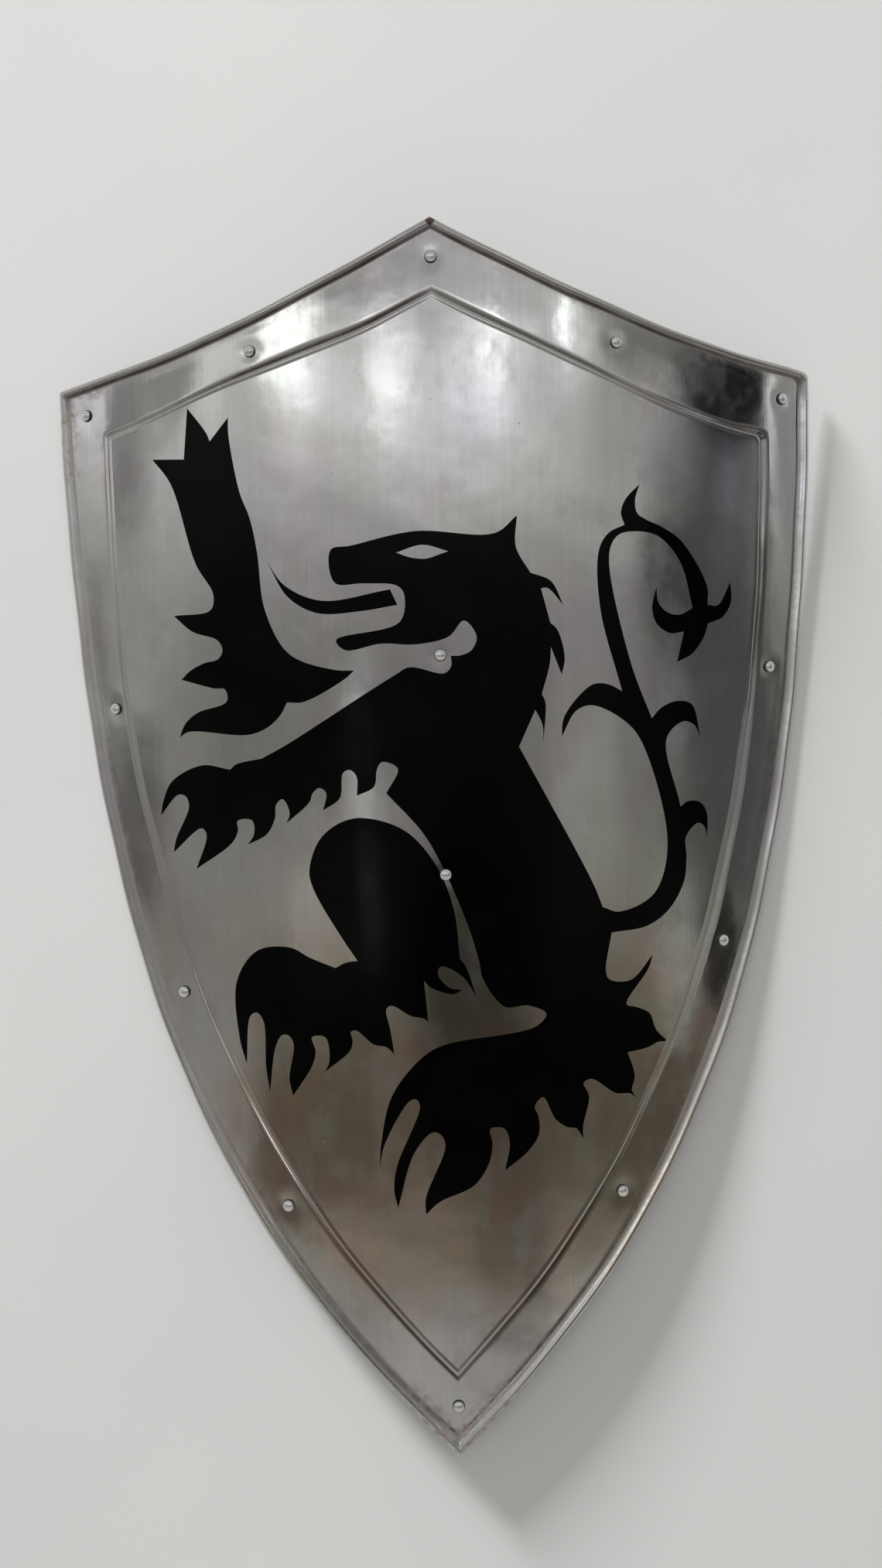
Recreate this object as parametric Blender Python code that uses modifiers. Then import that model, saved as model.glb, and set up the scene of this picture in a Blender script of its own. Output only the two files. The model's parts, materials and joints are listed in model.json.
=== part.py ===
"""A knight's heater shield, lying on its back with its face up.

One steel sheet is cut to a heater outline, bent round its long axis, rolled over along its
edge and creased all round inside the edge, which leaves a flat border. Twelve dome rivets
stand in the border, and two more hold a strap grip on the back.

The sheet is worked out flat first: u runs across it, v up it, with v = 0 at the level of the
two upper corners, and relief is the height over the sheet's face. Then it is bent round a
cylinder whose axis runs along v. Metres, Z up.
"""
import math

import bpy
import numpy as np
from mathutils import Matrix, Vector

# Outline of the flat sheet
HALF_SPAN = 0.240            # from the middle to an upper corner, along the sheet
APEX_RISE = 0.0785           # apex above the upper corners
TIP_DROP = 0.6325            # tip below the upper corners
APEX_SLOPE = 28.4            # degrees below level where a top edge leaves the apex
CORNER_SLOPE = 9.2           # degrees below level where it reaches the corner
APEX_PULL = 0.62             # how far each end of the top edge runs straight, share of its span
CORNER_PULL = 0.16
SIDE_FLARE = -2.1            # degrees outward where the side leaves the upper corner
TIP_FLARE = 47.1             # degrees from the middle line where it reaches the tip
SHOULDER_PULL = 0.467        # the same shares for the side edge
TIP_PULL = 0.327

# Sheet
BEND_RADIUS = 0.500          # of the face, round the long axis
SHEET = 0.0012               # 18 gauge

# Rolled rim
RIM_RADIUS = 0.0023          # outside of the roll
RIM_LIFT = 0.0003            # middle of the roll above the face
RIM_START = -70.0            # degrees round the roll, from its outermost line to its cut edge
RIM_END = 130.0              # and to where it turns down to the border

# Crease between the border and the field
TOP_BORDER = 0.0385          # edge to crease along the top edges
SIDE_BORDER = 0.0325         # edge to crease along the sides
CREASE_BEVEL = 0.0060        # width of the slope on the border's side
CREASE_DEPTH = 0.0012
CREASE_STEP = 0.0010         # width of the steep side, up to the field
RIDGE_HEIGHT = 0.0005        # low ridge along the field's edge
RIDGE_WIDTH = 0.0055

# Rivets
HEAD_RADIUS = 0.0036
HEAD_HEIGHT = 0.0024
SHANK_RADIUS = 0.0018
TAIL_RADIUS = 0.0028
TAIL_HEIGHT = 0.0011
RIVET_INSET = 0.0205         # border rivets in from the edge
TOP_RIVET_SHARES = (0.508,)  # places between the corner rivets, as shares of the way
LEFT_RIVET_SHARES = (0.280, 0.552, 0.767)
RIGHT_RIVET_SHARES = (0.255, 0.515, 0.760)

# Grip on the back
GRIP_WIDTH = 0.025
GRIP_THICKNESS = 0.0025
GRIP_GAP = 0.030             # room for the fingers, between the sheet and the grip
GRIP_RIVET_SPACING = 0.126
GRIP_UPPER_RIVET = -0.1735   # v of the upper one
GRIP_FOOT_END = 0.011        # rivet to the foot's free end
GRIP_FOOT_BEND = 0.010       # rivet to where the leg's line leaves the foot
GRIP_LEG_ANGLE = 68.0        # degrees between leg and sheet
GRIP_BEND_RADIUS = 0.006     # inside of the tighter side of each bend

# Pieces that touch keep this much apart
CLEARANCE = 0.0003

# How finely the forms are cut
TOP_STATIONS = 10
SIDE_STATIONS = 26
FIELD_STRIPS = 8
RIM_STEPS = 5
RIVET_SIDES = 12
BEND_STEPS = 4
CURVE_SAMPLES = 400


def clear_scene():
    for old in list(bpy.data.objects):
        bpy.data.objects.remove(old, do_unlink=True)


def new_collection(name):
    collection = bpy.data.collections.new(name)
    bpy.context.scene.collection.children.link(collection)
    return collection


def metal(name, colour, roughness):
    material = bpy.data.materials.new(name)
    material.use_nodes = True
    shader = material.node_tree.nodes["Principled BSDF"]
    shader.inputs["Base Color"].default_value = (*colour, 1.0)
    shader.inputs["Metallic"].default_value = 1.0
    shader.inputs["Roughness"].default_value = roughness
    return material


def smooth(mesh, angle):
    mesh.shade_smooth()
    mesh.set_sharp_from_angle(angle=math.radians(angle))


def bezier(start, start_pull, end_pull, end, samples):
    """Cubic curve through four points given as (u, v)."""
    t = np.linspace(0.0, 1.0, samples)[:, None]
    s = 1.0 - t
    return s**3 * start + 3.0 * s**2 * t * start_pull + 3.0 * s * t**2 * end_pull + t**3 * end


def towards(degrees_below_level):
    angle = math.radians(degrees_below_level)
    return np.array([math.cos(angle), -math.sin(angle)])


def edge_curves():
    """Right top edge from apex to corner, and right side edge from corner to tip."""
    apex = np.array([0.0, APEX_RISE])
    corner = np.array([HALF_SPAN, 0.0])
    tip = np.array([0.0, -TIP_DROP])
    top_span = np.linalg.norm(corner - apex)
    side_span = np.linalg.norm(tip - corner)
    top = bezier(apex, apex + APEX_PULL * top_span * towards(APEX_SLOPE),
                 corner - CORNER_PULL * top_span * towards(CORNER_SLOPE), corner, CURVE_SAMPLES)
    side = bezier(corner, corner + SHOULDER_PULL * side_span * towards(90.0 - SIDE_FLARE),
                  tip - TIP_PULL * side_span * towards(90.0 + TIP_FLARE), tip, CURVE_SAMPLES)
    return top, side


def inset(curve, distance):
    """The curve moved inwards, to the right of the way it runs, by one distance."""
    run = np.gradient(curve, axis=0)
    run /= np.linalg.norm(run, axis=1)[:, None]
    return curve + distance * np.stack([run[:, 1], -run[:, 0]], axis=1)


def crossing(first, second):
    """Where two polylines cross: the index before it on each, and the point."""
    a, b = first[:-1, None], (first[1:] - first[:-1])[:, None]
    c, d = second[None, :-1], (second[1:] - second[:-1])[None]
    turn = b[..., 0] * d[..., 1] - b[..., 1] * d[..., 0]
    turn = np.where(np.abs(turn) < 1e-16, 1e-16, turn)
    gap = c - a
    along = (gap[..., 0] * d[..., 1] - gap[..., 1] * d[..., 0]) / turn
    across = (gap[..., 0] * b[..., 1] - gap[..., 1] * b[..., 0]) / turn
    meets = (along >= 0.0) & (along <= 1.0) & (across >= 0.0) & (across <= 1.0)
    if not meets.any():
        return len(first) - 1, 0, 0.5 * (first[-1] + second[0])
    i, j = np.argwhere(meets)[0]
    return i, j, first[i] + along[i, j] * (first[i + 1] - first[i])


def spaced(points, count):
    """The polyline cut into equal lengths, as count + 1 points."""
    lengths = np.linalg.norm(np.diff(points, axis=0), axis=1)
    travelled = np.concatenate([[0.0], np.cumsum(lengths)])
    wanted = np.linspace(0.0, travelled[-1], count + 1)
    return np.stack([np.interp(wanted, travelled, points[:, axis]) for axis in (0, 1)], axis=1)


def from_middle(curve):
    """The part of a curve right of the middle line, starting or ending on it."""
    inside = np.flatnonzero(curve[:, 0] > 0.0)
    kept = curve[inside[0]:inside[-1] + 1]
    ends = []
    for outer, inner in ((inside[0] - 1, inside[0]), (inside[-1] + 1, inside[-1])):
        if 0 <= outer < len(curve):
            share = curve[inner, 0] / (curve[inner, 0] - curve[outer, 0])
            ends.append(curve[inner] + share * (curve[outer] - curve[inner]))
        else:
            ends.append(None)
    if ends[0] is not None:
        kept = np.vstack([ends[0], kept])
    if ends[1] is not None:
        kept = np.vstack([kept, ends[1]])
    return kept


def inset_outline(top_inset, side_inset, top_count=TOP_STATIONS, side_count=SIDE_STATIONS):
    """Half outline moved inwards and mitred at the corner, from the middle line to itself."""
    top_edge, side_edge = edge_curves()
    top = inset(top_edge, top_inset)
    side = inset(side_edge, side_inset)
    i, j, corner = crossing(top, side)
    top = from_middle(np.vstack([top[:i + 1], corner]))
    side = from_middle(np.vstack([corner, side[j + 1:]]))
    top[0, 0] = 0.0
    side[-1, 0] = 0.0
    return spaced(top, top_count), spaced(side, side_count)


def bent(flat, relief):
    """A flat point and its height over the face, carried onto the bent sheet."""
    angle = flat[..., 0] / BEND_RADIUS
    reach = BEND_RADIUS + relief
    return np.stack([reach * np.sin(angle), flat[..., 1], reach * np.cos(angle) - BEND_RADIUS], -1)


def rim_profile():
    """Inset and relief of the rolled rim, from its cut edge to the flat border."""
    turn = np.radians(np.linspace(RIM_START, RIM_END, RIM_STEPS + 1))
    rows = [(RIM_RADIUS * (1.0 - math.cos(a)), RIM_LIFT + RIM_RADIUS * math.sin(a)) for a in turn]
    slope = turn[-1] - math.pi / 2.0
    fillet = rows[-1][1] / (1.0 - math.cos(slope))
    flat_at = rows[-1][0] + fillet * math.sin(slope)
    for part in (0.5, 0.0):
        rows.append((flat_at - fillet * math.sin(slope * part),
                     fillet * (1.0 - math.cos(slope * part))))
    return rows


def crease_profile():
    """Distance in from the crease's bottom line, and relief."""
    return [(-CREASE_BEVEL, 0.0), (0.0, -CREASE_DEPTH), (CREASE_STEP, RIDGE_HEIGHT),
            (CREASE_STEP + RIDGE_WIDTH, 0.0)]


def half_face():
    """Right half of the face as rings of stations: flat places and relief.

    The rings follow the edge inwards to the field, and the last ones close in evenly on a
    spine along the middle line.
    """
    rings = [(d, d, h) for d, h in rim_profile()]
    rings += [(TOP_BORDER + d, SIDE_BORDER + d, h) for d, h in crease_profile()]
    flat = []
    for top_inset, side_inset, _ in rings:
        top, side = inset_outline(top_inset, side_inset)
        flat.append(np.vstack([top, side[1:]]))
    relief = [np.full(len(flat[0]), h) for _, _, h in rings]
    field = flat[-1]
    steps = np.linalg.norm(np.diff(field, axis=0), axis=1)
    share = np.concatenate([[0.0], np.cumsum(steps)]) / steps.sum()
    margin = 0.5 * RIDGE_WIDTH + SIDE_BORDER
    spine_v = (field[0, 1] - margin) * (1.0 - share) + (field[-1, 1] + margin) * share
    spine = np.stack([np.zeros_like(spine_v), spine_v], axis=1)
    for strip in range(1, FIELD_STRIPS + 1):
        part = strip / FIELD_STRIPS
        flat.append(field * (1.0 - part) + spine * part)
        relief.append(np.zeros(len(field)))
    return np.array(flat), np.array(relief)


def grid_mesh(name, points):
    """Quads over a grid of points, facing the way that down the rows x along the columns points."""
    rows, columns = points.shape[:2]
    index = np.arange(rows * columns).reshape(rows, columns)
    quads = np.stack([index[:-1, :-1], index[1:, :-1], index[1:, 1:], index[:-1, 1:]], -1)
    mesh = bpy.data.meshes.new(name)
    mesh.from_pydata(points.reshape(-1, 3).tolist(), [], quads.reshape(-1, 4).tolist())
    mesh.update()
    return mesh


def place(obj, collection, parent, material=None):
    collection.objects.link(obj)
    obj.parent = parent
    if material:
        obj.data.materials.append(material)
    return obj


def resting_place(face):
    """Turn and shift that lay the shield on the floor.

    Seen from the side the two long rims are one convex line, like a rocker. The shield comes to
    rest on the stretch of it that is under the sheet's balance point.
    """
    corners = (face[:-1, :-1], face[:-1, 1:], face[1:, 1:], face[1:, :-1])
    middle = sum(corners) / 4.0
    area = np.linalg.norm(np.cross(corners[2] - corners[0], corners[3] - corners[1]), axis=-1)
    balance = (middle * area[..., None]).sum(axis=(0, 1)) / area.sum()
    rim = face[0][TOP_STATIONS:, 1:]
    turn = 0.0
    for _ in range(3):
        foot = balance[1] * math.cos(turn) - balance[2] * math.sin(turn)
        along = rim[:, 0] * math.cos(turn) - rim[:, 1] * math.sin(turn)
        behind = int(np.flatnonzero(along >= foot)[-1])
        near, far = rim[behind], rim[min(behind + 1, len(rim) - 1)]
        turn = math.atan2(far[1] - near[1], near[0] - far[0])
    rotation = Matrix.Rotation(turn, 4, "X")
    turned = face.reshape(-1, 3) @ np.array(rotation.to_3x3()).T
    low, high = turned.min(axis=0), turned.max(axis=0)
    shift = Vector((0.0, -0.5 * (low[1] + high[1]), -low[2]))
    return Matrix.Translation(shift) @ rotation


def make_plate(face, collection, parent, material, hole_cutters):
    plate = bpy.data.objects.new("shield_plate", grid_mesh("shield_plate", face))
    place(plate, collection, parent, material)
    mirror = plate.modifiers.new("left_half", "MIRROR")
    mirror.use_axis = (True, False, False)
    mirror.merge_threshold = 0.00005
    solid = plate.modifiers.new("sheet", "SOLIDIFY")
    solid.thickness = SHEET
    solid.offset = -1.0
    solid.use_even_offset = True
    holes = plate.modifiers.new("rivet_holes", "BOOLEAN")
    holes.operand_type = "COLLECTION"
    holes.collection = hole_cutters
    holes.solver = "EXACT"
    smooth(plate.data, 30.0)
    return plate


def standing_on_sheet(u, v):
    """Frame of a rivet: its axis is the sheet's normal, its origin is on the face."""
    location = bent(np.array([u, v]), 0.0)
    return Matrix.Translation(Vector(location)) @ Matrix.Rotation(u / BEND_RADIUS, 4, "Y")


def rivet_mesh(name, grip_length):
    """Dome head, shank through what it holds, and a peened tail, as a turned profile."""
    head_base = CLEARANCE
    tail_base = -grip_length - CLEARANCE
    arc = [(math.sin(a), math.cos(a)) for a in np.radians([0.0, 35.0, 65.0, 90.0])]
    profile = [(HEAD_RADIUS * s, head_base + HEAD_HEIGHT * c) for s, c in arc]
    profile += [(SHANK_RADIUS, head_base), (SHANK_RADIUS, tail_base), (TAIL_RADIUS, tail_base),
                (0.6 * TAIL_RADIUS, tail_base - TAIL_HEIGHT), (0.0, tail_base - TAIL_HEIGHT)]
    mesh = bpy.data.meshes.new(name)
    mesh.from_pydata([(x, 0.0, z) for x, z in profile],
                     [(i, i + 1) for i in range(len(profile) - 1)], [])
    mesh.update()
    return mesh


def make_rivet(name, mesh, frame, collection, parent, material):
    rivet = bpy.data.objects.new(name, mesh)
    place(rivet, collection, parent)
    rivet.matrix_local = frame
    if not mesh.materials:
        mesh.materials.append(material)
    screw = rivet.modifiers.new("turned", "SCREW")
    screw.steps = RIVET_SIDES
    screw.render_steps = RIVET_SIDES
    screw.use_merge_vertices = True
    screw.merge_threshold = 0.00005
    screw.use_smooth_shade = True
    return rivet


def make_hole_cutter(name, frame, collection, parent, length):
    bpy.ops.mesh.primitive_cylinder_add(vertices=RIVET_SIDES, radius=SHANK_RADIUS + CLEARANCE,
                                        depth=length)
    cutter = bpy.context.object
    cutter.name = name
    for linked in list(cutter.users_collection):
        linked.objects.unlink(cutter)
    collection.objects.link(cutter)
    cutter.parent = parent
    cutter.matrix_local = frame
    cutter.hide_render = True
    cutter.display_type = "WIRE"
    return cutter


def along_line(points, share):
    fine = spaced(points, CURVE_SAMPLES)
    place_along = share * CURVE_SAMPLES
    return [float(np.interp(place_along, np.arange(CURVE_SAMPLES + 1), fine[:, axis]))
            for axis in (0, 1)]


def border_rivet_places():
    """Name and flat place of each border rivet, on one line round the border."""
    top, side = inset_outline(RIVET_INSET, RIVET_INSET, CURVE_SAMPLES, CURVE_SAMPLES)
    corner_u, corner_v = side[0]
    places = {"border_rivet_apex": tuple(top[0]), "border_rivet_tip": tuple(side[-1])}
    for hand, mark, shares in (("left", -1.0, LEFT_RIVET_SHARES), ("right", 1.0, RIGHT_RIVET_SHARES)):
        places[f"border_rivet_{hand}_corner"] = (mark * corner_u, corner_v)
        for count, share in enumerate(TOP_RIVET_SHARES, 1):
            u, v = along_line(top, share)
            places[f"border_rivet_{hand}_top_{count}"] = (mark * u, v)
        for count, share in enumerate(shares, 1):
            u, v = along_line(side, share)
            places[f"border_rivet_{hand}_side_{count}"] = (mark * u, v)
    return places


def rounded_path(corners, radii):
    """A polyline whose inner corners are turned with arcs of the given radii."""
    path = [np.array(corners[0])]
    for before, here, after, radius in zip(corners, corners[1:], corners[2:], radii):
        before, here, after = (np.array(p) for p in (before, here, after))
        back = (before - here) / np.linalg.norm(before - here)
        ahead = (after - here) / np.linalg.norm(after - here)
        half = 0.5 * math.acos(float(np.clip(back @ ahead, -1.0, 1.0)))
        centre = here + (back + ahead) / np.linalg.norm(back + ahead) * radius / math.sin(half)
        start = here + back * radius / math.tan(half) - centre
        sweep = math.pi - 2.0 * half
        sense = math.copysign(1.0, float(back[0] * ahead[1] - back[1] * ahead[0]))
        for step in range(BEND_STEPS + 1):
            angle = -sense * sweep * step / BEND_STEPS
            cos, sin = math.cos(angle), math.sin(angle)
            path.append(centre + np.array([cos * start[0] - sin * start[1],
                                           sin * start[0] + cos * start[1]]))
    path.append(np.array(corners[-1]))
    return np.array(path)


def sheet_fall(reach):
    """How far the sheet's facets fall away from its middle line at a distance across from it."""
    facet = (HALF_SPAN - SIDE_BORDER) / FIELD_STRIPS
    return reach * max(reach, facet) / (2.0 * BEND_RADIUS)


def grip_foot_depth():
    return SHEET + sheet_fall(0.5 * GRIP_WIDTH) + CLEARANCE


def grip_path():
    """Side view of the grip's inner face, as (v from the grip's middle, depth behind the face)."""
    foot_z = -grip_foot_depth()
    bar_z = -SHEET - GRIP_GAP
    rivet = 0.5 * GRIP_RIVET_SPACING
    foot_bend = rivet - GRIP_FOOT_BEND
    bar_bend = foot_bend - (foot_z - bar_z) / math.tan(math.radians(GRIP_LEG_ANGLE))
    half = [(rivet + GRIP_FOOT_END, foot_z), (foot_bend, foot_z), (bar_bend, bar_z)]
    corners = half + [(-v, z) for v, z in reversed(half)]
    foot_turn = GRIP_BEND_RADIUS + GRIP_THICKNESS
    return rounded_path(corners, [foot_turn, GRIP_BEND_RADIUS, GRIP_BEND_RADIUS, foot_turn])


def make_grip(collection, parent, material, hole_cutters):
    path = grip_path()
    middle = GRIP_UPPER_RIVET - 0.5 * GRIP_RIVET_SPACING
    half = 0.5 * GRIP_WIDTH
    ribbon = np.array([[(x, v, z) for x in (-half, half)] for v, z in path])
    grip = bpy.data.objects.new("grip", grid_mesh("grip", ribbon))
    place(grip, collection, parent, material)
    grip.location = (0.0, middle, 0.0)
    strap = grip.modifiers.new("strap", "SOLIDIFY")
    strap.thickness = GRIP_THICKNESS
    strap.offset = -1.0
    strap.use_even_offset = True
    holes = grip.modifiers.new("rivet_holes", "BOOLEAN")
    holes.operand_type = "COLLECTION"
    holes.collection = hole_cutters
    holes.solver = "EXACT"
    return grip


def build():
    clear_scene()
    shield = new_collection("knight_shield")
    plate_cutters = new_collection("plate_cutters")
    grip_cutters = new_collection("grip_cutters")
    steel = metal("brushed_steel", (0.56, 0.55, 0.53), 0.30)
    grip_steel = metal("grip_steel", (0.42, 0.41, 0.40), 0.42)
    rivet_metal = metal("rivet_metal", (0.72, 0.72, 0.71), 0.28)

    flat, relief = half_face()
    face = bent(flat, relief)
    rest = bpy.data.objects.new("resting_pose", None)
    shield.objects.link(rest)
    rest.matrix_world = resting_place(face)
    bpy.context.view_layer.update()

    make_plate(face, shield, rest, steel, plate_cutters)
    make_grip(shield, rest, grip_steel, grip_cutters)

    border_mesh = rivet_mesh("border_rivet", SHEET)
    for name, (u, v) in border_rivet_places().items():
        frame = standing_on_sheet(u, v)
        make_rivet(name, border_mesh, frame, shield, rest, rivet_metal)
        make_hole_cutter(f"{name}_hole", frame, plate_cutters, rest, 10.0 * SHEET)

    grip_mesh = rivet_mesh("grip_rivet", grip_foot_depth() + GRIP_THICKNESS)
    lower = GRIP_UPPER_RIVET - GRIP_RIVET_SPACING
    for name, v in (("grip_rivet_upper", GRIP_UPPER_RIVET), ("grip_rivet_lower", lower)):
        frame = standing_on_sheet(0.0, v)
        make_rivet(name, grip_mesh, frame, shield, rest, rivet_metal)
        length = 10.0 * (SHEET + GRIP_THICKNESS)
        make_hole_cutter(f"{name}_plate_hole", frame, plate_cutters, rest, length)
        make_hole_cutter(f"{name}_grip_hole", frame, grip_cutters, rest, length)


build()
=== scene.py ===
"""Looks of a knight's heater shield of polished steel with a black enamel lion, lying face up.

Every surface is first worked out flat: u runs across the sheet, v up it, with v = 0 at the level
of the upper corners, and relief is height over the face. It is then bent round a cylinder along
v and laid on the floor as the CAD solids are. Lengths are metres, but the lion's outlines are
millimetres and names that end in _PX are pixels. The sheet's and the grip's angles are degrees.
"""
import json
import math

import bpy
import numpy as np
from mathutils import Matrix, Vector
from mathutils.geometry import delaunay_2d_cdt


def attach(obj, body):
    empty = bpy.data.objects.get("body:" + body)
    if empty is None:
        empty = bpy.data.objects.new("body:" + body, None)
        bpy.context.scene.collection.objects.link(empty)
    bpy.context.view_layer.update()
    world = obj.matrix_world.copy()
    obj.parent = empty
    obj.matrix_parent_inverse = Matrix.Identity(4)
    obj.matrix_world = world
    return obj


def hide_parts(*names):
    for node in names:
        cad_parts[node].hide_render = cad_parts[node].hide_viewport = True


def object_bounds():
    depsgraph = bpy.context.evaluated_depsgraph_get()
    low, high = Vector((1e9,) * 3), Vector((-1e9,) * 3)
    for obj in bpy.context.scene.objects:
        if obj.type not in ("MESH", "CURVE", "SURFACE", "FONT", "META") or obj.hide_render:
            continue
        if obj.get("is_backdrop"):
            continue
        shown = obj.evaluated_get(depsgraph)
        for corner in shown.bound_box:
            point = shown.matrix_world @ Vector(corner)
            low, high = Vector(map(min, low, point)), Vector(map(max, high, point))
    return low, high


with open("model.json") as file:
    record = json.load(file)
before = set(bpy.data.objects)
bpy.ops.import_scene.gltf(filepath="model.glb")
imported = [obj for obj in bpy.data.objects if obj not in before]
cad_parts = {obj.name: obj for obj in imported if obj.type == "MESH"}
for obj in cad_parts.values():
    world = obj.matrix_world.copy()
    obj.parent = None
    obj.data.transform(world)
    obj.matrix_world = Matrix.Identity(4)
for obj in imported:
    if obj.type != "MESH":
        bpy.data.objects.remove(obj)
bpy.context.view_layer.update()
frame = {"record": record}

# The sheet's own sizes, as in the CAD source
HALF_SPAN, APEX_RISE, TIP_DROP = 0.240, 0.0785, 0.6325
APEX_SLOPE, CORNER_SLOPE, APEX_PULL, CORNER_PULL = 28.4, 9.2, 0.62, 0.16
SIDE_FLARE, TIP_FLARE, SHOULDER_PULL, TIP_PULL = -2.1, 47.1, 0.467, 0.327
BEND_RADIUS, SHEET = 0.500, 0.0012
RIM_RADIUS, RIM_LIFT, RIM_START, RIM_END = 0.0023, 0.0003, -70.0, 130.0
TOP_BORDER, SIDE_BORDER = 0.0385, 0.0325
CREASE_BEVEL, CREASE_DEPTH, CREASE_STEP = 0.0060, 0.0012, 0.0010
RIDGE_HEIGHT, RIDGE_WIDTH = 0.00020, 0.0024
HEAD_RADIUS, HEAD_HEIGHT, SHANK_RADIUS = 0.0036, 0.0024, 0.0018
TAIL_RADIUS, TAIL_HEIGHT, RIVET_INSET = 0.0028, 0.0011, 0.0205
TOP_RIVET_SHARES = (0.508,)
LEFT_RIVET_SHARES = (0.280, 0.552, 0.767)
RIGHT_RIVET_SHARES = (0.255, 0.515, 0.760)
GRIP_WIDTH, GRIP_THICKNESS, GRIP_GAP = 0.025, 0.0025, 0.030
GRIP_RIVET_SPACING, GRIP_UPPER_RIVET = 0.126, -0.1735
GRIP_MIDDLE = GRIP_UPPER_RIVET - 0.5 * GRIP_RIVET_SPACING
GRIP_FOOT_END, GRIP_FOOT_BEND, GRIP_LEG_ANGLE, GRIP_BEND_RADIUS = 0.011, 0.010, 68.0, 0.006
GRIP_CORNER_RADIUS, CLEARANCE = 0.0009, 0.0003
FACET = (HALF_SPAN - SIDE_BORDER) / 8.0

# How finely the looks are cut
TOP_STATIONS, SIDE_STATIONS, STATION_CROWDING = 90, 230, 0.75
ROLL_ROWS, HOLLOW_ROWS, BORDER_ROWS = 15, 8, 8
BACK_CREASE_ROWS = (0, 3, 6, 8, 11, 14, 16, 19, 21)
FIELD_STEP, BACK_STEP = 0.0046, 0.009
RIVET_SIDES = 32
SAMPLES = 500

# Hand work: how far the lines stray from the even ones, and what shares of the heights are lost
SIDE_WAVE, TOP_WAVE = 0.00022, 0.00018
CREASE_UP_LEFT, CREASE_IN_RIGHT, CREASE_DOWN_RIGHT = 0.0086, 0.0035, 0.0068
CREASE_IN_LEFT, CREASE_OUT_LEFT = 0.0030, 0.0048
RIGHT_CORNER_TURN, LEFT_CORNER_TURN = 0.0045, 0.0018
ROLL_LOST_TOP, ROLL_LOST_LEFT, ROLL_LOST_APEX = 0.35, 0.50, 0.80
CREASE_LOST_APEX, CREASE_LOST_FOOT = 0.85, 0.40
DISH_DEPTH, DISH_WIDTH = 0.00022, 0.0055
CALM_START, CALM_WIDTH = 0.004, 0.010

# What the mesh carries for the steel: dirt and painted shade, and the distance in from the edge; and for the
# rivets, painted shade round the lip
BACK_GRIME, FIELD_EDGE_INSET = 0.3, 0.05
# Where the painted shade round a rivet's lip starts and how far it rises, as shares of the head's radius
LIP_SHADE_START, LIP_SHADE_WIDTH = 0.78, 0.20

# The camera, in the sheet's frame: turn about x, y and z in radians, then place along its own axes
CAMERA_TURN = (-0.00115829, -0.00022113, 0.0245146)
CAMERA_PLACE = (0.0046126, -0.2473740, 0.7543113)
FOCAL_PX, IMAGE_HEIGHT_PX = 1700.0, 2027

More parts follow.
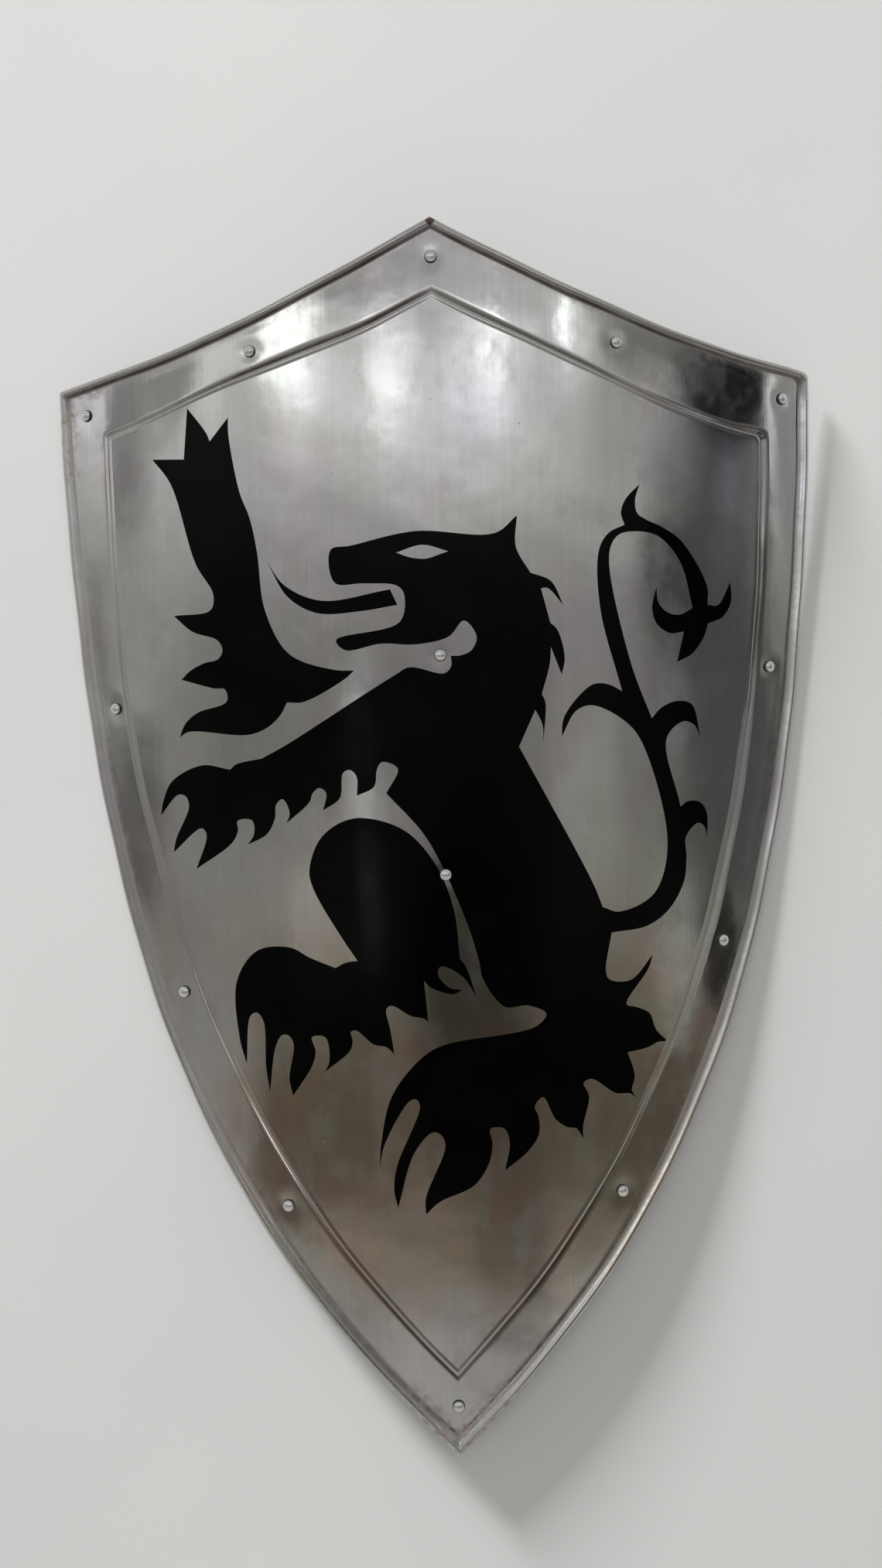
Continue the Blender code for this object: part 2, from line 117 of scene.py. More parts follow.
# The enamel lion's outlines on the flat sheet; a third number marks a sharp tip
LION_BODY = [
    (-62, -111), (-50, -109), (-13, -102), (33, -104), (46, -94, 1), (45, -112), (53, -127, 1),
    (65, -132), (72, -146, 1), (63, -136), (59, -136, 1), (64, -156, 1), (68, -160), (72, -176),
    (70, -186, 1), (64, -170, 1), (63, -180), (58, -197, 1), (60, -202), (58, -226, 1), (58, -215),
    (54, -206, 1), (44, -227, 1), (86, -308), (91, -321, 1), (101, -324), (123, -314), (132, -285),
    (118, -227), (108, -214), (88, -204), (78, -207), (69, -222, 1), (71, -210), (88, -192),
    (98, -192), (106, -196, 1), (94, -148), (94, -114), (100, -104), (110, -99, 1), (108, -92),
    (111, -84), (120, -75, 1), (117, -84), (118, -92), (124, -96, 1), (134, -100), (146, -108),
    (162, -134), (162, -145, 1), (169, -145), (178, -131, 1), (178, -143), (172, -152),
    (162, -156, 1), (159, -164), (151, -174), (141, -179, 1), (146, -161, 1), (137, -162),
    (129, -157), (126, -148), (129, -135, 1), (130, -144), (136, -150), (144, -151),
    (152, -147, 1), (146, -123), (138, -111), (128, -104), (108, -104), (102, -110), (100, -122),
    (112, -180), (124, -212, 1), (130, -206), (140, -202), (150, -204), (155, -223, 1),
    (151, -216), (144, -214), (133, -224), (141, -264, 1), (146, -261), (154, -262), (158, -268),
    (158, -283, 1), (156, -276), (152, -274), (144, -282), (144, -294), (142, -308), (132, -324),
    (118, -333), (96, -336, 1), (92, -358), (94, -363), (107, -364), (121, -350, 1), (118, -358),
    (104, -378), (110, -380), (118, -384), (122, -394), (130, -402, 1), (124, -401), (116, -404),
    (104, -406, 1), (108, -420), (106, -428), (109, -433, 1), (105, -430), (96, -429), (82, -420),
    (77, -422), (80, -430), (76, -447), (76, -454, 1), (72, -448), (67, -447), (60, -442),
    (53, -429), (48, -434), (50, -440), (50, -450), (44, -459), (30, -470, 1), (33, -454),
    (30, -446), (22, -446), (23, -454), (21, -465), (12, -478), (-8, -487), (-16, -494, 1),
    (-16, -485), (-4, -455), (-6, -449), (-11, -447), (-22, -459), (-32, -490, 1), (-34, -480),
    (-32, -466), (-18, -432), (-20, -428), (-24, -429), (-39, -454), (-42, -466, 1), (-41, -454),
    (-34, -426), (-16, -404), (-3, -397), (50, -388), (56, -381), (46, -376), (32, -376),
    (20, -360), (18, -350), (13, -332), (1, -301), (-12, -276), (-33, -252, 1), (-26, -238),
    (-35, -234), (-38, -238), (-40, -248), (-50, -253, 1), (-50, -242), (-54, -238), (-58, -240), (-60, -254),
    (-70, -261, 1), (-68, -251), (-72, -248), (-76, -251), (-78, -256), (-92, -268, 1),
    (-90, -262), (-94, -254), (-98, -257), (-99, -265), (-104, -274), (-116, -280, 1),
    (-112, -274), (-113, -266), (-122, -266), (-122, -272), (-126, -279), (-149, -294, 1),
    (-142, -274), (-145, -270), (-164, -284, 1), (-162, -276), (-153, -257), (-155, -251),
    (-160, -250), (-172, -262, 1), (-170, -253), (-164, -242), (-144, -233), (-126, -236, 1),
    (-122, -233), (-106, -230, 1), (-90, -222), (-26, -184), (-18, -180), (2, -184), (6, -180),
    (6, -174, 1), (11, -174), (18, -171), (21, -163), (14, -154), (5, -163), (-14, -167),
    (-34, -166), (-55, -169), (-60, -163), (-23, -154), (-20, -138), (-24, -133), (-43, -131),
    (-60, -130),
]
LION_RAISED_FORELEG = [
    (-172, -50, 1), (-151, -52, 1), (-148, -22, 1), (-136, -38), (-134, -43, 1), (-122, -30, 1),
    (-122, -40), (-116, -74), (-110, -90), (-106, -110), (-102, -144), (-88, -170), (-62, -180),
    (-50, -181, 1), (-56, -186), (-80, -198), (-90, -198, 1), (-94, -205), (-102, -212),
    (-114, -216), (-152, -213), (-158, -216, 1), (-154, -208), (-146, -202), (-127, -196),
    (-128, -189), (-135, -188), (-156, -182, 1), (-150, -177), (-141, -173), (-132, -171),
    (-129, -166), (-132, -160), (-148, -154), (-160, -144, 1), (-136, -142), (-134, -133),
    (-145, -114), (-160, -66),
]
LION_TONGUE = [
    (-100, -116, 1), (-90, -130), (-68, -140), (-28, -135, 1), (-24, -144, 1), (-46, -147),
    (-71, -147), (-88, -137),
]
LION_EYE = [
    (-24, -114, 1), (-9, -110), (6, -114, 1), (0, -116), (-7, -118), (-16, -117),
]
LION_HIND_LEG = [
    (-52, -348, 1), (-60, -336), (-77, -306), (-79, -295), (-71, -276), (-52, -266), (-24, -273),
    (-6, -293), (4, -319), (7, -348, 1), (10, -352), (16, -370, 1), (8, -358), (-4, -352),
    (-6, -356), (0, -364), (8, -366, 1), (2, -368), (-10, -364), (-14, -360, 1), (-12, -384, 1),
    (-14, -382), (-22, -380), (-33, -374), (-36, -376), (-34, -388), (-32, -402, 1), (-36, -398),
    (-44, -396), (-54, -388), (-57, -389), (-56, -394), (-58, -400), (-73, -412, 1), (-70, -406),
    (-72, -392), (-80, -392), (-78, -400), (-80, -408), (-92, -426, 1), (-94, -416), (-91, -396),
    (-94, -391), (-98, -391), (-102, -398), (-106, -424, 1), (-108, -410), (-109, -383),
    (-113, -378), (-117, -380), (-120, -408, 1), (-124, -393), (-125, -360), (-112, -342),
    (-92, -340), (-80, -346), (-65, -352, 1), (-59, -349),
]
LION_BLACK = (LION_BODY, LION_RAISED_FORELEG, LION_TONGUE, LION_HIND_LEG)


def towards(degrees_below_level):
    """One step to the right, turned down from level by the angle."""
    angle = math.radians(degrees_below_level)
    return np.array([math.cos(angle), -math.sin(angle)])


def bezier(start, start_pull, end_pull, end):
    """Cubic curve: the four points weighted by the terms of (s + t) cubed, with s = 1 - t."""
    t = np.linspace(0.0, 1.0, SAMPLES)[:, None]
    s = 1.0 - t
    return s**3 * start + 3.0 * s**2 * t * start_pull + 3.0 * s * t**2 * end_pull + t**3 * end


def edge_curves():
    """Right top edge from apex to corner, and right side edge from corner to tip."""
    apex, corner, tip = np.array([0.0, APEX_RISE]), np.array([HALF_SPAN, 0.0]), np.array([0.0, -TIP_DROP])
    top_span, side_span = np.linalg.norm(corner - apex), np.linalg.norm(tip - corner)
    top = bezier(apex, apex + APEX_PULL * top_span * towards(APEX_SLOPE),
                 corner - CORNER_PULL * top_span * towards(CORNER_SLOPE), corner)
    side = bezier(corner, corner + SHOULDER_PULL * side_span * towards(90.0 - SIDE_FLARE),
                  tip - TIP_PULL * side_span * towards(90.0 + TIP_FLARE), tip)
    return top, side


def inset(curve, distance):
    """The curve moved to the right of the way it runs by one distance."""
    run = np.gradient(curve, axis=0)
    run /= np.linalg.norm(run, axis=1)[:, None]
    return curve + distance * np.stack([run[:, 1], -run[:, 0]], axis=1)


def crossing(first, second):
    """Where two polylines cross: the index before it on each, and the point."""
    a, b = first[:-1, None], (first[1:] - first[:-1])[:, None]
    c, d = second[None, :-1], (second[1:] - second[:-1])[None]
    turn = b[..., 0] * d[..., 1] - b[..., 1] * d[..., 0]
    turn = np.where(np.abs(turn) < 1e-16, 1e-16, turn)
    gap = c - a
    along = (gap[..., 0] * d[..., 1] - gap[..., 1] * d[..., 0]) / turn
    across = (gap[..., 0] * b[..., 1] - gap[..., 1] * b[..., 0]) / turn
    meets = (along >= 0.0) & (along <= 1.0) & (across >= 0.0) & (across <= 1.0)
    if not meets.any():
        return len(first) - 1, 0, 0.5 * (first[-1] + second[0])
    i, j = np.argwhere(meets)[0]
    return i, j, first[i] + along[i, j] * (first[i + 1] - first[i])


def smooth_step(value):
    """0 up to 0, 1 from 1, and 3 p^2 - 2 p^3 between."""
    part = np.clip(value, 0.0, 1.0)
    return part * part * (3.0 - 2.0 * part)


def spaced(points, count, crowding=0.0):
    """The polyline cut into lengths as count + 1 points, equal or crowded towards its ends."""
    travelled = np.concatenate([[0.0], np.cumsum(np.linalg.norm(np.diff(points, axis=0), axis=1))])
    share = np.linspace(0.0, 1.0, count + 1)
    wanted = travelled[-1] * (share + crowding * (smooth_step(share) - share))
    return np.stack([np.interp(wanted, travelled, points[:, axis]) for axis in (0, 1)], axis=1)


def to_middle(curve, at_start):
    """The part of a curve right of the middle line, with its end on that line."""
    inside = np.flatnonzero(curve[:, 0] > 0.0)
    outer, inner = (inside[0] - 1, inside[0]) if at_start else (inside[-1] + 1, inside[-1])
    kept = curve[inside]
    if not 0 <= outer < len(curve):
        return kept
    share = curve[inner, 0] / (curve[inner, 0] - curve[outer, 0])
    end = curve[inner] + share * (curve[outer] - curve[inner])
    return np.vstack([end, kept]) if at_start else np.vstack([kept, end])


def half_outline(top_inset, side_inset, top_count, side_count, crowding=0.0):
    """Right half of the outline moved inwards and mitred, as its top and side stations."""
    top_edge, side_edge = edge_curves()
    top, side = inset(top_edge, top_inset), inset(side_edge, side_inset)
    i, j, corner = crossing(top, side)
    top = to_middle(np.vstack([top[:i + 1], corner]), True)
    side = to_middle(np.vstack([corner, side[j + 1:]]), False)
    top[0, 0] = 0.0
    side[-1, 0] = 0.0
    return spaced(top, top_count, crowding), spaced(side, side_count, crowding)


def softened(top, side, reach):
    """The half outline with its corner turned over a reach on each side.

    The corner C gives way to C + (1 - t)^2 (A - C) + t^2 (B - C), with A and B a reach away.
    """
    corner = side[0]
    half = np.vstack([top, side[1:]])
    ends = []
    for line in (top[::-1], side):
        away = np.linalg.norm(line - corner, axis=1)
        near_end = np.argmax(away >= reach)
        ends.append((line[near_end] - corner) / away[near_end] * reach)
    gone = np.linalg.norm(half - corner, axis=1) / reach
    t = 0.5 * (1.0 + np.where(np.arange(len(half)) < len(top), -gone, gone))[:, None]
    turned_corner = corner + (1.0 - t) ** 2 * ends[0] + t**2 * ends[1]
    return np.where(gone[:, None] < 1.0, turned_corner, half)


def by_hand(flat, depth):
    """The drawn lines as the hammer left them: small waves inwards, and a crease that strays.

    The depth is 0 on the rim and 1 from the crease inwards.
    """
    u, v = flat[..., 0], flat[..., 1]
    side_wave = SIDE_WAVE * (2.0 + np.sin(41.0 * v + 1.0) + np.sin(93.0 * v + 4.0 * np.sign(u)))
    top_wave = TOP_WAVE * (2.0 + np.sin(47.0 * u + 0.5) + np.sin(105.0 * u))
    low_right = depth * smooth_step((u - 0.050) / 0.150) * smooth_step((v + 0.160) / 0.140)
    left = depth * smooth_step(-u / 0.050)
    bowed = left * (CREASE_IN_LEFT * bump(v + 0.005, 0.070) - CREASE_OUT_LEFT * bump(v + 0.230, 0.110))
    moved_u = u - np.tanh(u / 0.03) * side_wave - CREASE_IN_RIGHT * low_right + bowed
    high_left = CREASE_UP_LEFT * depth * bump(u + 0.125, 0.070) * smooth_step((v + 0.060) / 0.030)
    moved_v = v - np.where(v > -0.25, 1.0, -1.0) * top_wave * smooth_step(np.abs(v + 0.25) / 0.2)
    moved_v += high_left - CREASE_DOWN_RIGHT * low_right
    return np.stack([moved_u, moved_v], axis=-1)


def ring(top_inset, side_inset):
    """The whole outline moved inwards: clockwise from the apex, each station once."""
    top, side = half_outline(top_inset, side_inset, TOP_STATIONS, SIDE_STATIONS, STATION_CROWDING)
    right = softened(top, side, RIGHT_CORNER_TURN)
    left = softened(top, side, LEFT_CORNER_TURN)[1:-1][::-1] * np.array([-1.0, 1.0])
    depth = smooth_step((min(top_inset, side_inset) - 0.006) / 0.018)
    return by_hand(np.vstack([right, left]), depth)


def bent(flat, relief):
    """Place on the bent sheet: the angle is u over the radius, the reach is radius plus relief."""
    angle = flat[..., 0] / BEND_RADIUS
    reach = BEND_RADIUS + relief
    return np.stack([reach * np.sin(angle), flat[..., 1], reach * np.cos(angle) - BEND_RADIUS], -1)


def resting_pose():
    """The shield's turn and shift on the floor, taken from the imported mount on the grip's back."""
    mount = next(m for m in frame["record"]["mounts"] if m["name"] == "grip_back")
    tilt = math.atan2(mount["axis"][1], -mount["axis"][2])
    turn = Matrix.Rotation(tilt, 4, "X")
    on_sheet = Vector((0.0, GRIP_MIDDLE, -SHEET - GRIP_GAP - GRIP_THICKNESS))
    return Matrix.Translation(Vector(mount["pos_m"]) - turn @ on_sheet) @ turn


REST = resting_pose()
REST_TURN = np.array(REST.to_3x3())
REST_SHIFT = np.array(REST.translation)


def laid(points):
    """Points of the sheet's frame, laid on the floor."""
    return points @ REST_TURN.T + REST_SHIFT


def bump(distance, width):
    """1 at no distance, falling as a bell curve of the given width."""
    return np.exp(-(distance / width) ** 2)


def unevenness(flat):
    """Height of the hand work in the sheet: slow waves, and a shallow dish round each rivet."""
    u, v = flat[..., 0], flat[..., 1]
    waves = 0.00010 * np.sin(31.0 * u + 9.0 * v + 0.6) * np.sin(14.0 * v - 1.1)
    waves += 0.00005 * np.sin(67.0 * u - 21.0 * v) * np.sin(38.0 * v + 12.0 * u)
    waves += 0.00003 * np.sin(120.0 * u + 70.0 * v) * np.sin(95.0 * v - 33.0 * u + 2.0)
    for place_u, place_v in RIVET_PLACES.values():
        waves -= DISH_DEPTH * bump(np.hypot(u - place_u, v - place_v), DISH_WIDTH)
    return waves


def along_line(points, share):
    """The place at a share of the line's length."""
    fine, index = spaced(points, SAMPLES), np.arange(SAMPLES + 1)
    return tuple(float(np.interp(share * SAMPLES, index, fine[:, axis])) for axis in (0, 1))


def border_rivet_places():
    """Flat place of each border rivet, on one line round the border."""
    top, side = half_outline(RIVET_INSET, RIVET_INSET, SAMPLES, SAMPLES)
    places = {"border_rivet_apex": tuple(top[0]), "border_rivet_tip": tuple(side[-1])}
    for hand, mark, shares in (("left", -1.0, LEFT_RIVET_SHARES), ("right", 1.0, RIGHT_RIVET_SHARES)):
        places[f"border_rivet_{hand}_corner"] = (mark * side[0, 0], side[0, 1])
        for line, label, at in ((top, "top", TOP_RIVET_SHARES), (side, "side", shares)):
            for count, share in enumerate(at, 1):
                u, v = along_line(line, share)
                places[f"border_rivet_{hand}_{label}_{count}"] = (mark * u, v)
    return places


GRIP_RIVET_PLACES = {
    "grip_rivet_upper": (0.0, GRIP_UPPER_RIVET),
    "grip_rivet_lower": (0.0, GRIP_UPPER_RIVET - GRIP_RIVET_SPACING),
}
RIVET_PLACES = {**border_rivet_places(), **GRIP_RIVET_PLACES}


def new_piece(name, points, faces, materials, slots=None, normals=None):
    """A smooth mesh object at the origin from whole arrays of points and faces."""
    mesh = bpy.data.meshes.new(name)
    mesh.from_pydata(points.tolist(), [], faces)
    for material in materials:
        mesh.materials.append(material)
    if slots is not None:
        mesh.polygons.foreach_set("material_index", np.asarray(slots, dtype=np.int32))
    mesh.polygons.foreach_set("use_smooth", np.full(len(mesh.polygons), True))
    mesh.update()
    if normals is not None:
        mesh.normals_split_custom_set_from_vertices(normals.tolist())
    piece = bpy.data.objects.new(name, mesh)
    bpy.context.scene.collection.objects.link(piece)
    return piece


def grid_faces(rows, columns):
    """Quads between neighbours in a grid of points whose last column meets its first."""
    index = np.arange(rows * columns).reshape(rows, columns)
    index = np.hstack([index, index[:, :1]])
    quads = np.stack([index[:-1, :-1], index[1:, :-1], index[1:, 1:], index[:-1, 1:]], -1)
    return quads.reshape(-1, 4)


def rim_rows():
    """Face profile of the rolled rim: a circle round the roll, then a hollow down to the border.

    Each row is (inset, relief, outward slope in the profile as inset and relief).
    """
    turn = np.radians(np.linspace(RIM_START, RIM_END, ROLL_ROWS))
    inset_at, relief = RIM_RADIUS * (1.0 - np.cos(turn)), RIM_LIFT + RIM_RADIUS * np.sin(turn)
    out = np.stack([-np.cos(turn), np.sin(turn)], axis=1)
    slope = turn[-1] - math.pi / 2.0
    fillet = relief[-1] / (1.0 - math.cos(slope))
    flat_at = inset_at[-1] + fillet * math.sin(slope)
    part = slope * np.linspace(1.0, 0.0, HOLLOW_ROWS + 1)[1:]
    inset_at = np.concatenate([inset_at, flat_at - fillet * np.sin(part)])
    relief = np.concatenate([relief, fillet * (1.0 - np.cos(part))])
    out = np.vstack([out, np.stack([np.sin(part), np.cos(part)], axis=1)])
    return inset_at, relief, out


def top_and_left(flat):
    """How far each place is at the top and at the left, as two smooth steps 20 mm wide."""
    return smooth_step((flat[..., 1] + 0.020) / 0.020), smooth_step(-flat[..., 0] / 0.020)


def roll_share(flat):
    """How proud the rolled rim stands: 1, less steps at the top and left, times a dip at the apex."""
    on_top, on_left = top_and_left(flat)
    from_apex = np.hypot(flat[..., 0], flat[..., 1] - APEX_RISE)
    beaten = 1.0 - ROLL_LOST_TOP * on_top - ROLL_LOST_LEFT * (1.0 - on_top) * on_left
    return (1.0 - ROLL_LOST_APEX * bump(from_apex, 0.0026)) * beaten


def crease_gaps():
    """Distances of the crease's rows from its bottom line, towards the field."""
    away = np.array([-1.35, -1.12, -1.0, -0.86, -0.66, -0.45, -0.26, -0.12, -0.04]) * CREASE_BEVEL
    step = np.array([0.12, 0.32, 0.52, 0.74, 0.92, 1.10, 1.35]) * CREASE_STEP
    ridge = CREASE_STEP + RIDGE_WIDTH * np.array([0.20, 0.38, 0.56, 0.73, 0.88, 1.0])
    return np.concatenate([away, step, ridge])


def crease_share(flat):
    """How deep the crease is rolled: 1, less a bell curve at the apex and a step towards the foot."""
    from_top = np.hypot(flat[..., 0], flat[..., 1] - APEX_RISE + TOP_BORDER)
    low = smooth_step((-flat[..., 1] - 0.36) / 0.14)
    return 1.0 - CREASE_LOST_APEX * bump(from_top, 0.007) - CREASE_LOST_FOOT * low


def crease_relief(gap, bevel):
    """Height across the crease, for each distance from its bottom line and width of bevel.

    The bevel falls to the bottom as a smooth step, a steep step rises to the ridge, and the ridge
    fades into the field. A narrow bevel is shallow as well.
    """
    depth = CREASE_DEPTH * (0.20 + 0.55 * bevel / CREASE_BEVEL)
    bottom = -depth * smooth_step(1.0 + gap / bevel)
    rise = (depth + RIDGE_HEIGHT) * smooth_step(gap / CREASE_STEP)
    fade = smooth_step((gap - CREASE_STEP) / RIDGE_WIDTH)
    return bottom + rise - RIDGE_HEIGHT * fade


def bevel_widths(flat):
    """Width of the crease's bevel: full at the top and right, and a mere line down the left side."""
    u, v = flat[..., 0], flat[..., 1]
    on_top = smooth_step((v + 0.045) / 0.012)
    top_share = 0.34 + 0.40 * bump(u + 0.070, 0.045) + 0.20 * bump(u - 0.020, 0.030)
    left_share = 0.27 + 0.08 * smooth_step((-v - 0.430) / 0.080)
    right_share = 0.95 - 0.60 * smooth_step((-v - 0.300) / 0.150)
    side_share = np.where(u < 0.0, left_share, right_share)
    unsteady = 0.05 * np.sin(23.0 * v + 11.0 * u)
    return CREASE_BEVEL * (on_top * top_share + (1.0 - on_top) * side_share + unsteady)


def to_rings(top_insets, side_insets):
    """The outline moved inwards by each pair of distances, as one array of rings."""
    return np.array([ring(t, s) for t, s in zip(top_insets, side_insets)])


def slopes(height, flat, reach=0.0002):
    """Slope of a height along u and along v, from its values a little to either side."""
    along_u, along_v = np.array([reach, 0.0]), np.array([0.0, reach])
    return ((height(flat + along_u) - height(flat - along_u)) / (2.0 * reach),
            (height(flat + along_v) - height(flat - along_v)) / (2.0 * reach))


def sheet_normals(flat):
    """Outward normals of the bent, uneven sheet: the cylinder's, leaned against the slopes."""
    slope_u, slope_v = slopes(unevenness, flat)
    angle = flat[:, 0] / BEND_RADIUS
    zero = np.zeros_like(angle)
    outward = np.stack([np.sin(angle), zero, np.cos(angle)], axis=1)
    across = np.stack([np.cos(angle), zero, -np.sin(angle)], axis=1)
    normals = outward - slope_u[:, None] * across - slope_v[:, None] * np.array([0.0, 1.0, 0.0])
    return normals / np.linalg.norm(normals, axis=1)[:, None]


def grid_normals(points):
    """Normals of a grid closed across its columns: the run down the rows times that along them."""
    down = np.gradient(points, axis=0)
    along = np.roll(points, -1, axis=1) - np.roll(points, 1, axis=1)
    normals = np.cross(down, along)
    return normals / np.maximum(np.linalg.norm(normals, axis=-1), 1e-12)[..., None]


def smooth_outline(points_mm):
    """Closed curve through the points: a centripetal Catmull-Rom spline, broken at each tip."""
    place = 0.001 * np.array([p[:2] for p in points_mm], dtype=float)
    sharp = np.array([len(p) > 2 for p in points_mm])[:, None]
    end = np.roll(place, -1, axis=0)
    before = np.where(sharp, 2.0 * place - end, np.roll(place, 1, axis=0))
    after = np.where(np.roll(sharp, -1, axis=0), 2.0 * end - place, np.roll(place, -2, axis=0))
    knots = [np.zeros((len(place), 1, 1))]
    for a, b in ((before, place), (place, end), (end, after)):
        knots.append(knots[-1] + np.sqrt(np.linalg.norm(b - a, axis=1))[:, None, None])
    t = knots[1] + (knots[2] - knots[1]) * np.linspace(0.0, 1.0, 10, endpoint=False)[None, :, None]

    def blend(a, b, low, high):
        return ((knots[high] - t) * a + (t - knots[low]) * b) / (knots[high] - knots[low])

    before, place, end, after = (p[:, None] for p in (before, place, end, after))
    first, middle, last = blend(before, place, 0, 1), blend(place, end, 1, 2), blend(end, after, 2, 3)
    curve = blend(blend(first, middle, 0, 2), blend(middle, last, 1, 3), 1, 2)
    return curve.reshape(-1, 2)


def inside(points, outline):
    """Even-odd test: whether a ray to the right of each point crosses the outline an odd time."""
    a, b = outline, np.roll(outline, -1, axis=0)
    rise = np.where(a[:, 1] == b[:, 1], 1.0, b[:, 1] - a[:, 1])
    found = []
    for some in np.array_split(points, max(1, len(points) // 4000)):
        u, v = some[:, :1], some[:, 1:]
        spans = (a[:, 1] > v) != (b[:, 1] > v)
        crosses = spans & (u < a[:, 0] + (v - a[:, 1]) / rise * (b[:, 0] - a[:, 0]))
        found.append(crosses.sum(axis=1) % 2 == 1)
    return np.concatenate(found)


def clear_of(points, lines, gap):
    """The points that are further than the gap from every point of the lines."""
    kept = []
    for some in np.array_split(points, max(1, len(points) // 2000)):
        away = (some[:, :1] - lines[:, 0]) ** 2 + (some[:, 1:] - lines[:, 1]) ** 2
        kept.append(some[away.min(axis=1) > gap * gap])
    return np.concatenate(kept)


def lattice(low, high, step):
    """Rows of points a step apart, every second row moved by half a step."""
    columns = np.arange(low[0], high[0], step)
    rows = np.arange(low[1], high[1], step * math.sqrt(0.75))
    u, v = np.meshgrid(columns, rows)
    u = u + 0.5 * step * (np.arange(len(rows)) % 2)[:, None]
    return np.stack([u.ravel(), v.ravel()], axis=1)


def triangulated(border, outlines, step):
    """The area inside the border cut into triangles whose sides follow every outline.

    Returns the flat points, the border point that each one is (or -1), and the triangles.
    """
    lines = np.vstack([border, *outlines])
    inner = lattice(border.min(axis=0), border.max(axis=0), step)
    inner = clear_of(inner[inside(inner, border)], lines, 0.45 * step)
    edges, first = [], 0
    for loop in (border, *outlines):
        index = first + np.arange(len(loop))
        edges += np.stack([index, np.roll(index, -1)], axis=1).tolist()
        first += len(loop)
    made = delaunay_2d_cdt([Vector(p) for p in np.vstack([lines, inner]).tolist()], edges, [], 0, 1e-7)
    points = np.array([tuple(p) for p in made[0]])
    triangles = np.array([f for f in made[2] if len(f) == 3])
    twin = np.array([min(ids, default=-1) for ids in made[3]])
    middle = points[triangles].mean(axis=1)
    return points, np.where(twin < len(border), twin, -1), triangles[inside(middle, border)]


def lion_slots(middle):
    """1 where a triangle's middle is in the enamel lion, and 0 on the bare steel."""
    black = np.any([inside(middle, smooth_outline(shape)) for shape in LION_BLACK], axis=0)
    return (black & ~inside(middle, smooth_outline(LION_EYE))).astype(int)


def dirt_and_painted_shade(flat, rim_inset, gaps):
    """Dirt and painted shade on the face's rows: a dark band in the hollow beside the roll, strongest along
    the top, and a painted shade line along the crease's bottom.

    Each is a bell curve across, times a share that changes round the shield.
    """
    on_top, on_left = top_and_left(flat)
    hollow, crease = slice(0, len(rim_inset)), slice(len(flat) - len(gaps), None)
    dirt_and_shade_level = np.zeros(flat.shape[:2])
    in_hollow = bump(rim_inset[:, None] - 0.0060, 0.0026)
    dirt_and_shade_level[hollow] = in_hollow * (0.25 + 0.80 * on_top + 0.15 * on_left)[hollow]
    on_top, on_left = on_top[crease], on_left[crease]
    low = smooth_step((-flat[crease, :, 1] - 0.36) / 0.12)
    # Painted shade along the crease's bottom; along the top it is moved out onto the bevel and widened,
    # darkening the bevel
    in_crease = bump(gaps[:, None] - 0.0003 + 0.0020 * on_top, 0.00055 + 0.00085 * on_top)
    dirt_and_shade_level[crease] = in_crease * (0.55 + 0.45 * on_left - 0.35 * low + 0.25 * on_top)
    return dirt_and_shade_level


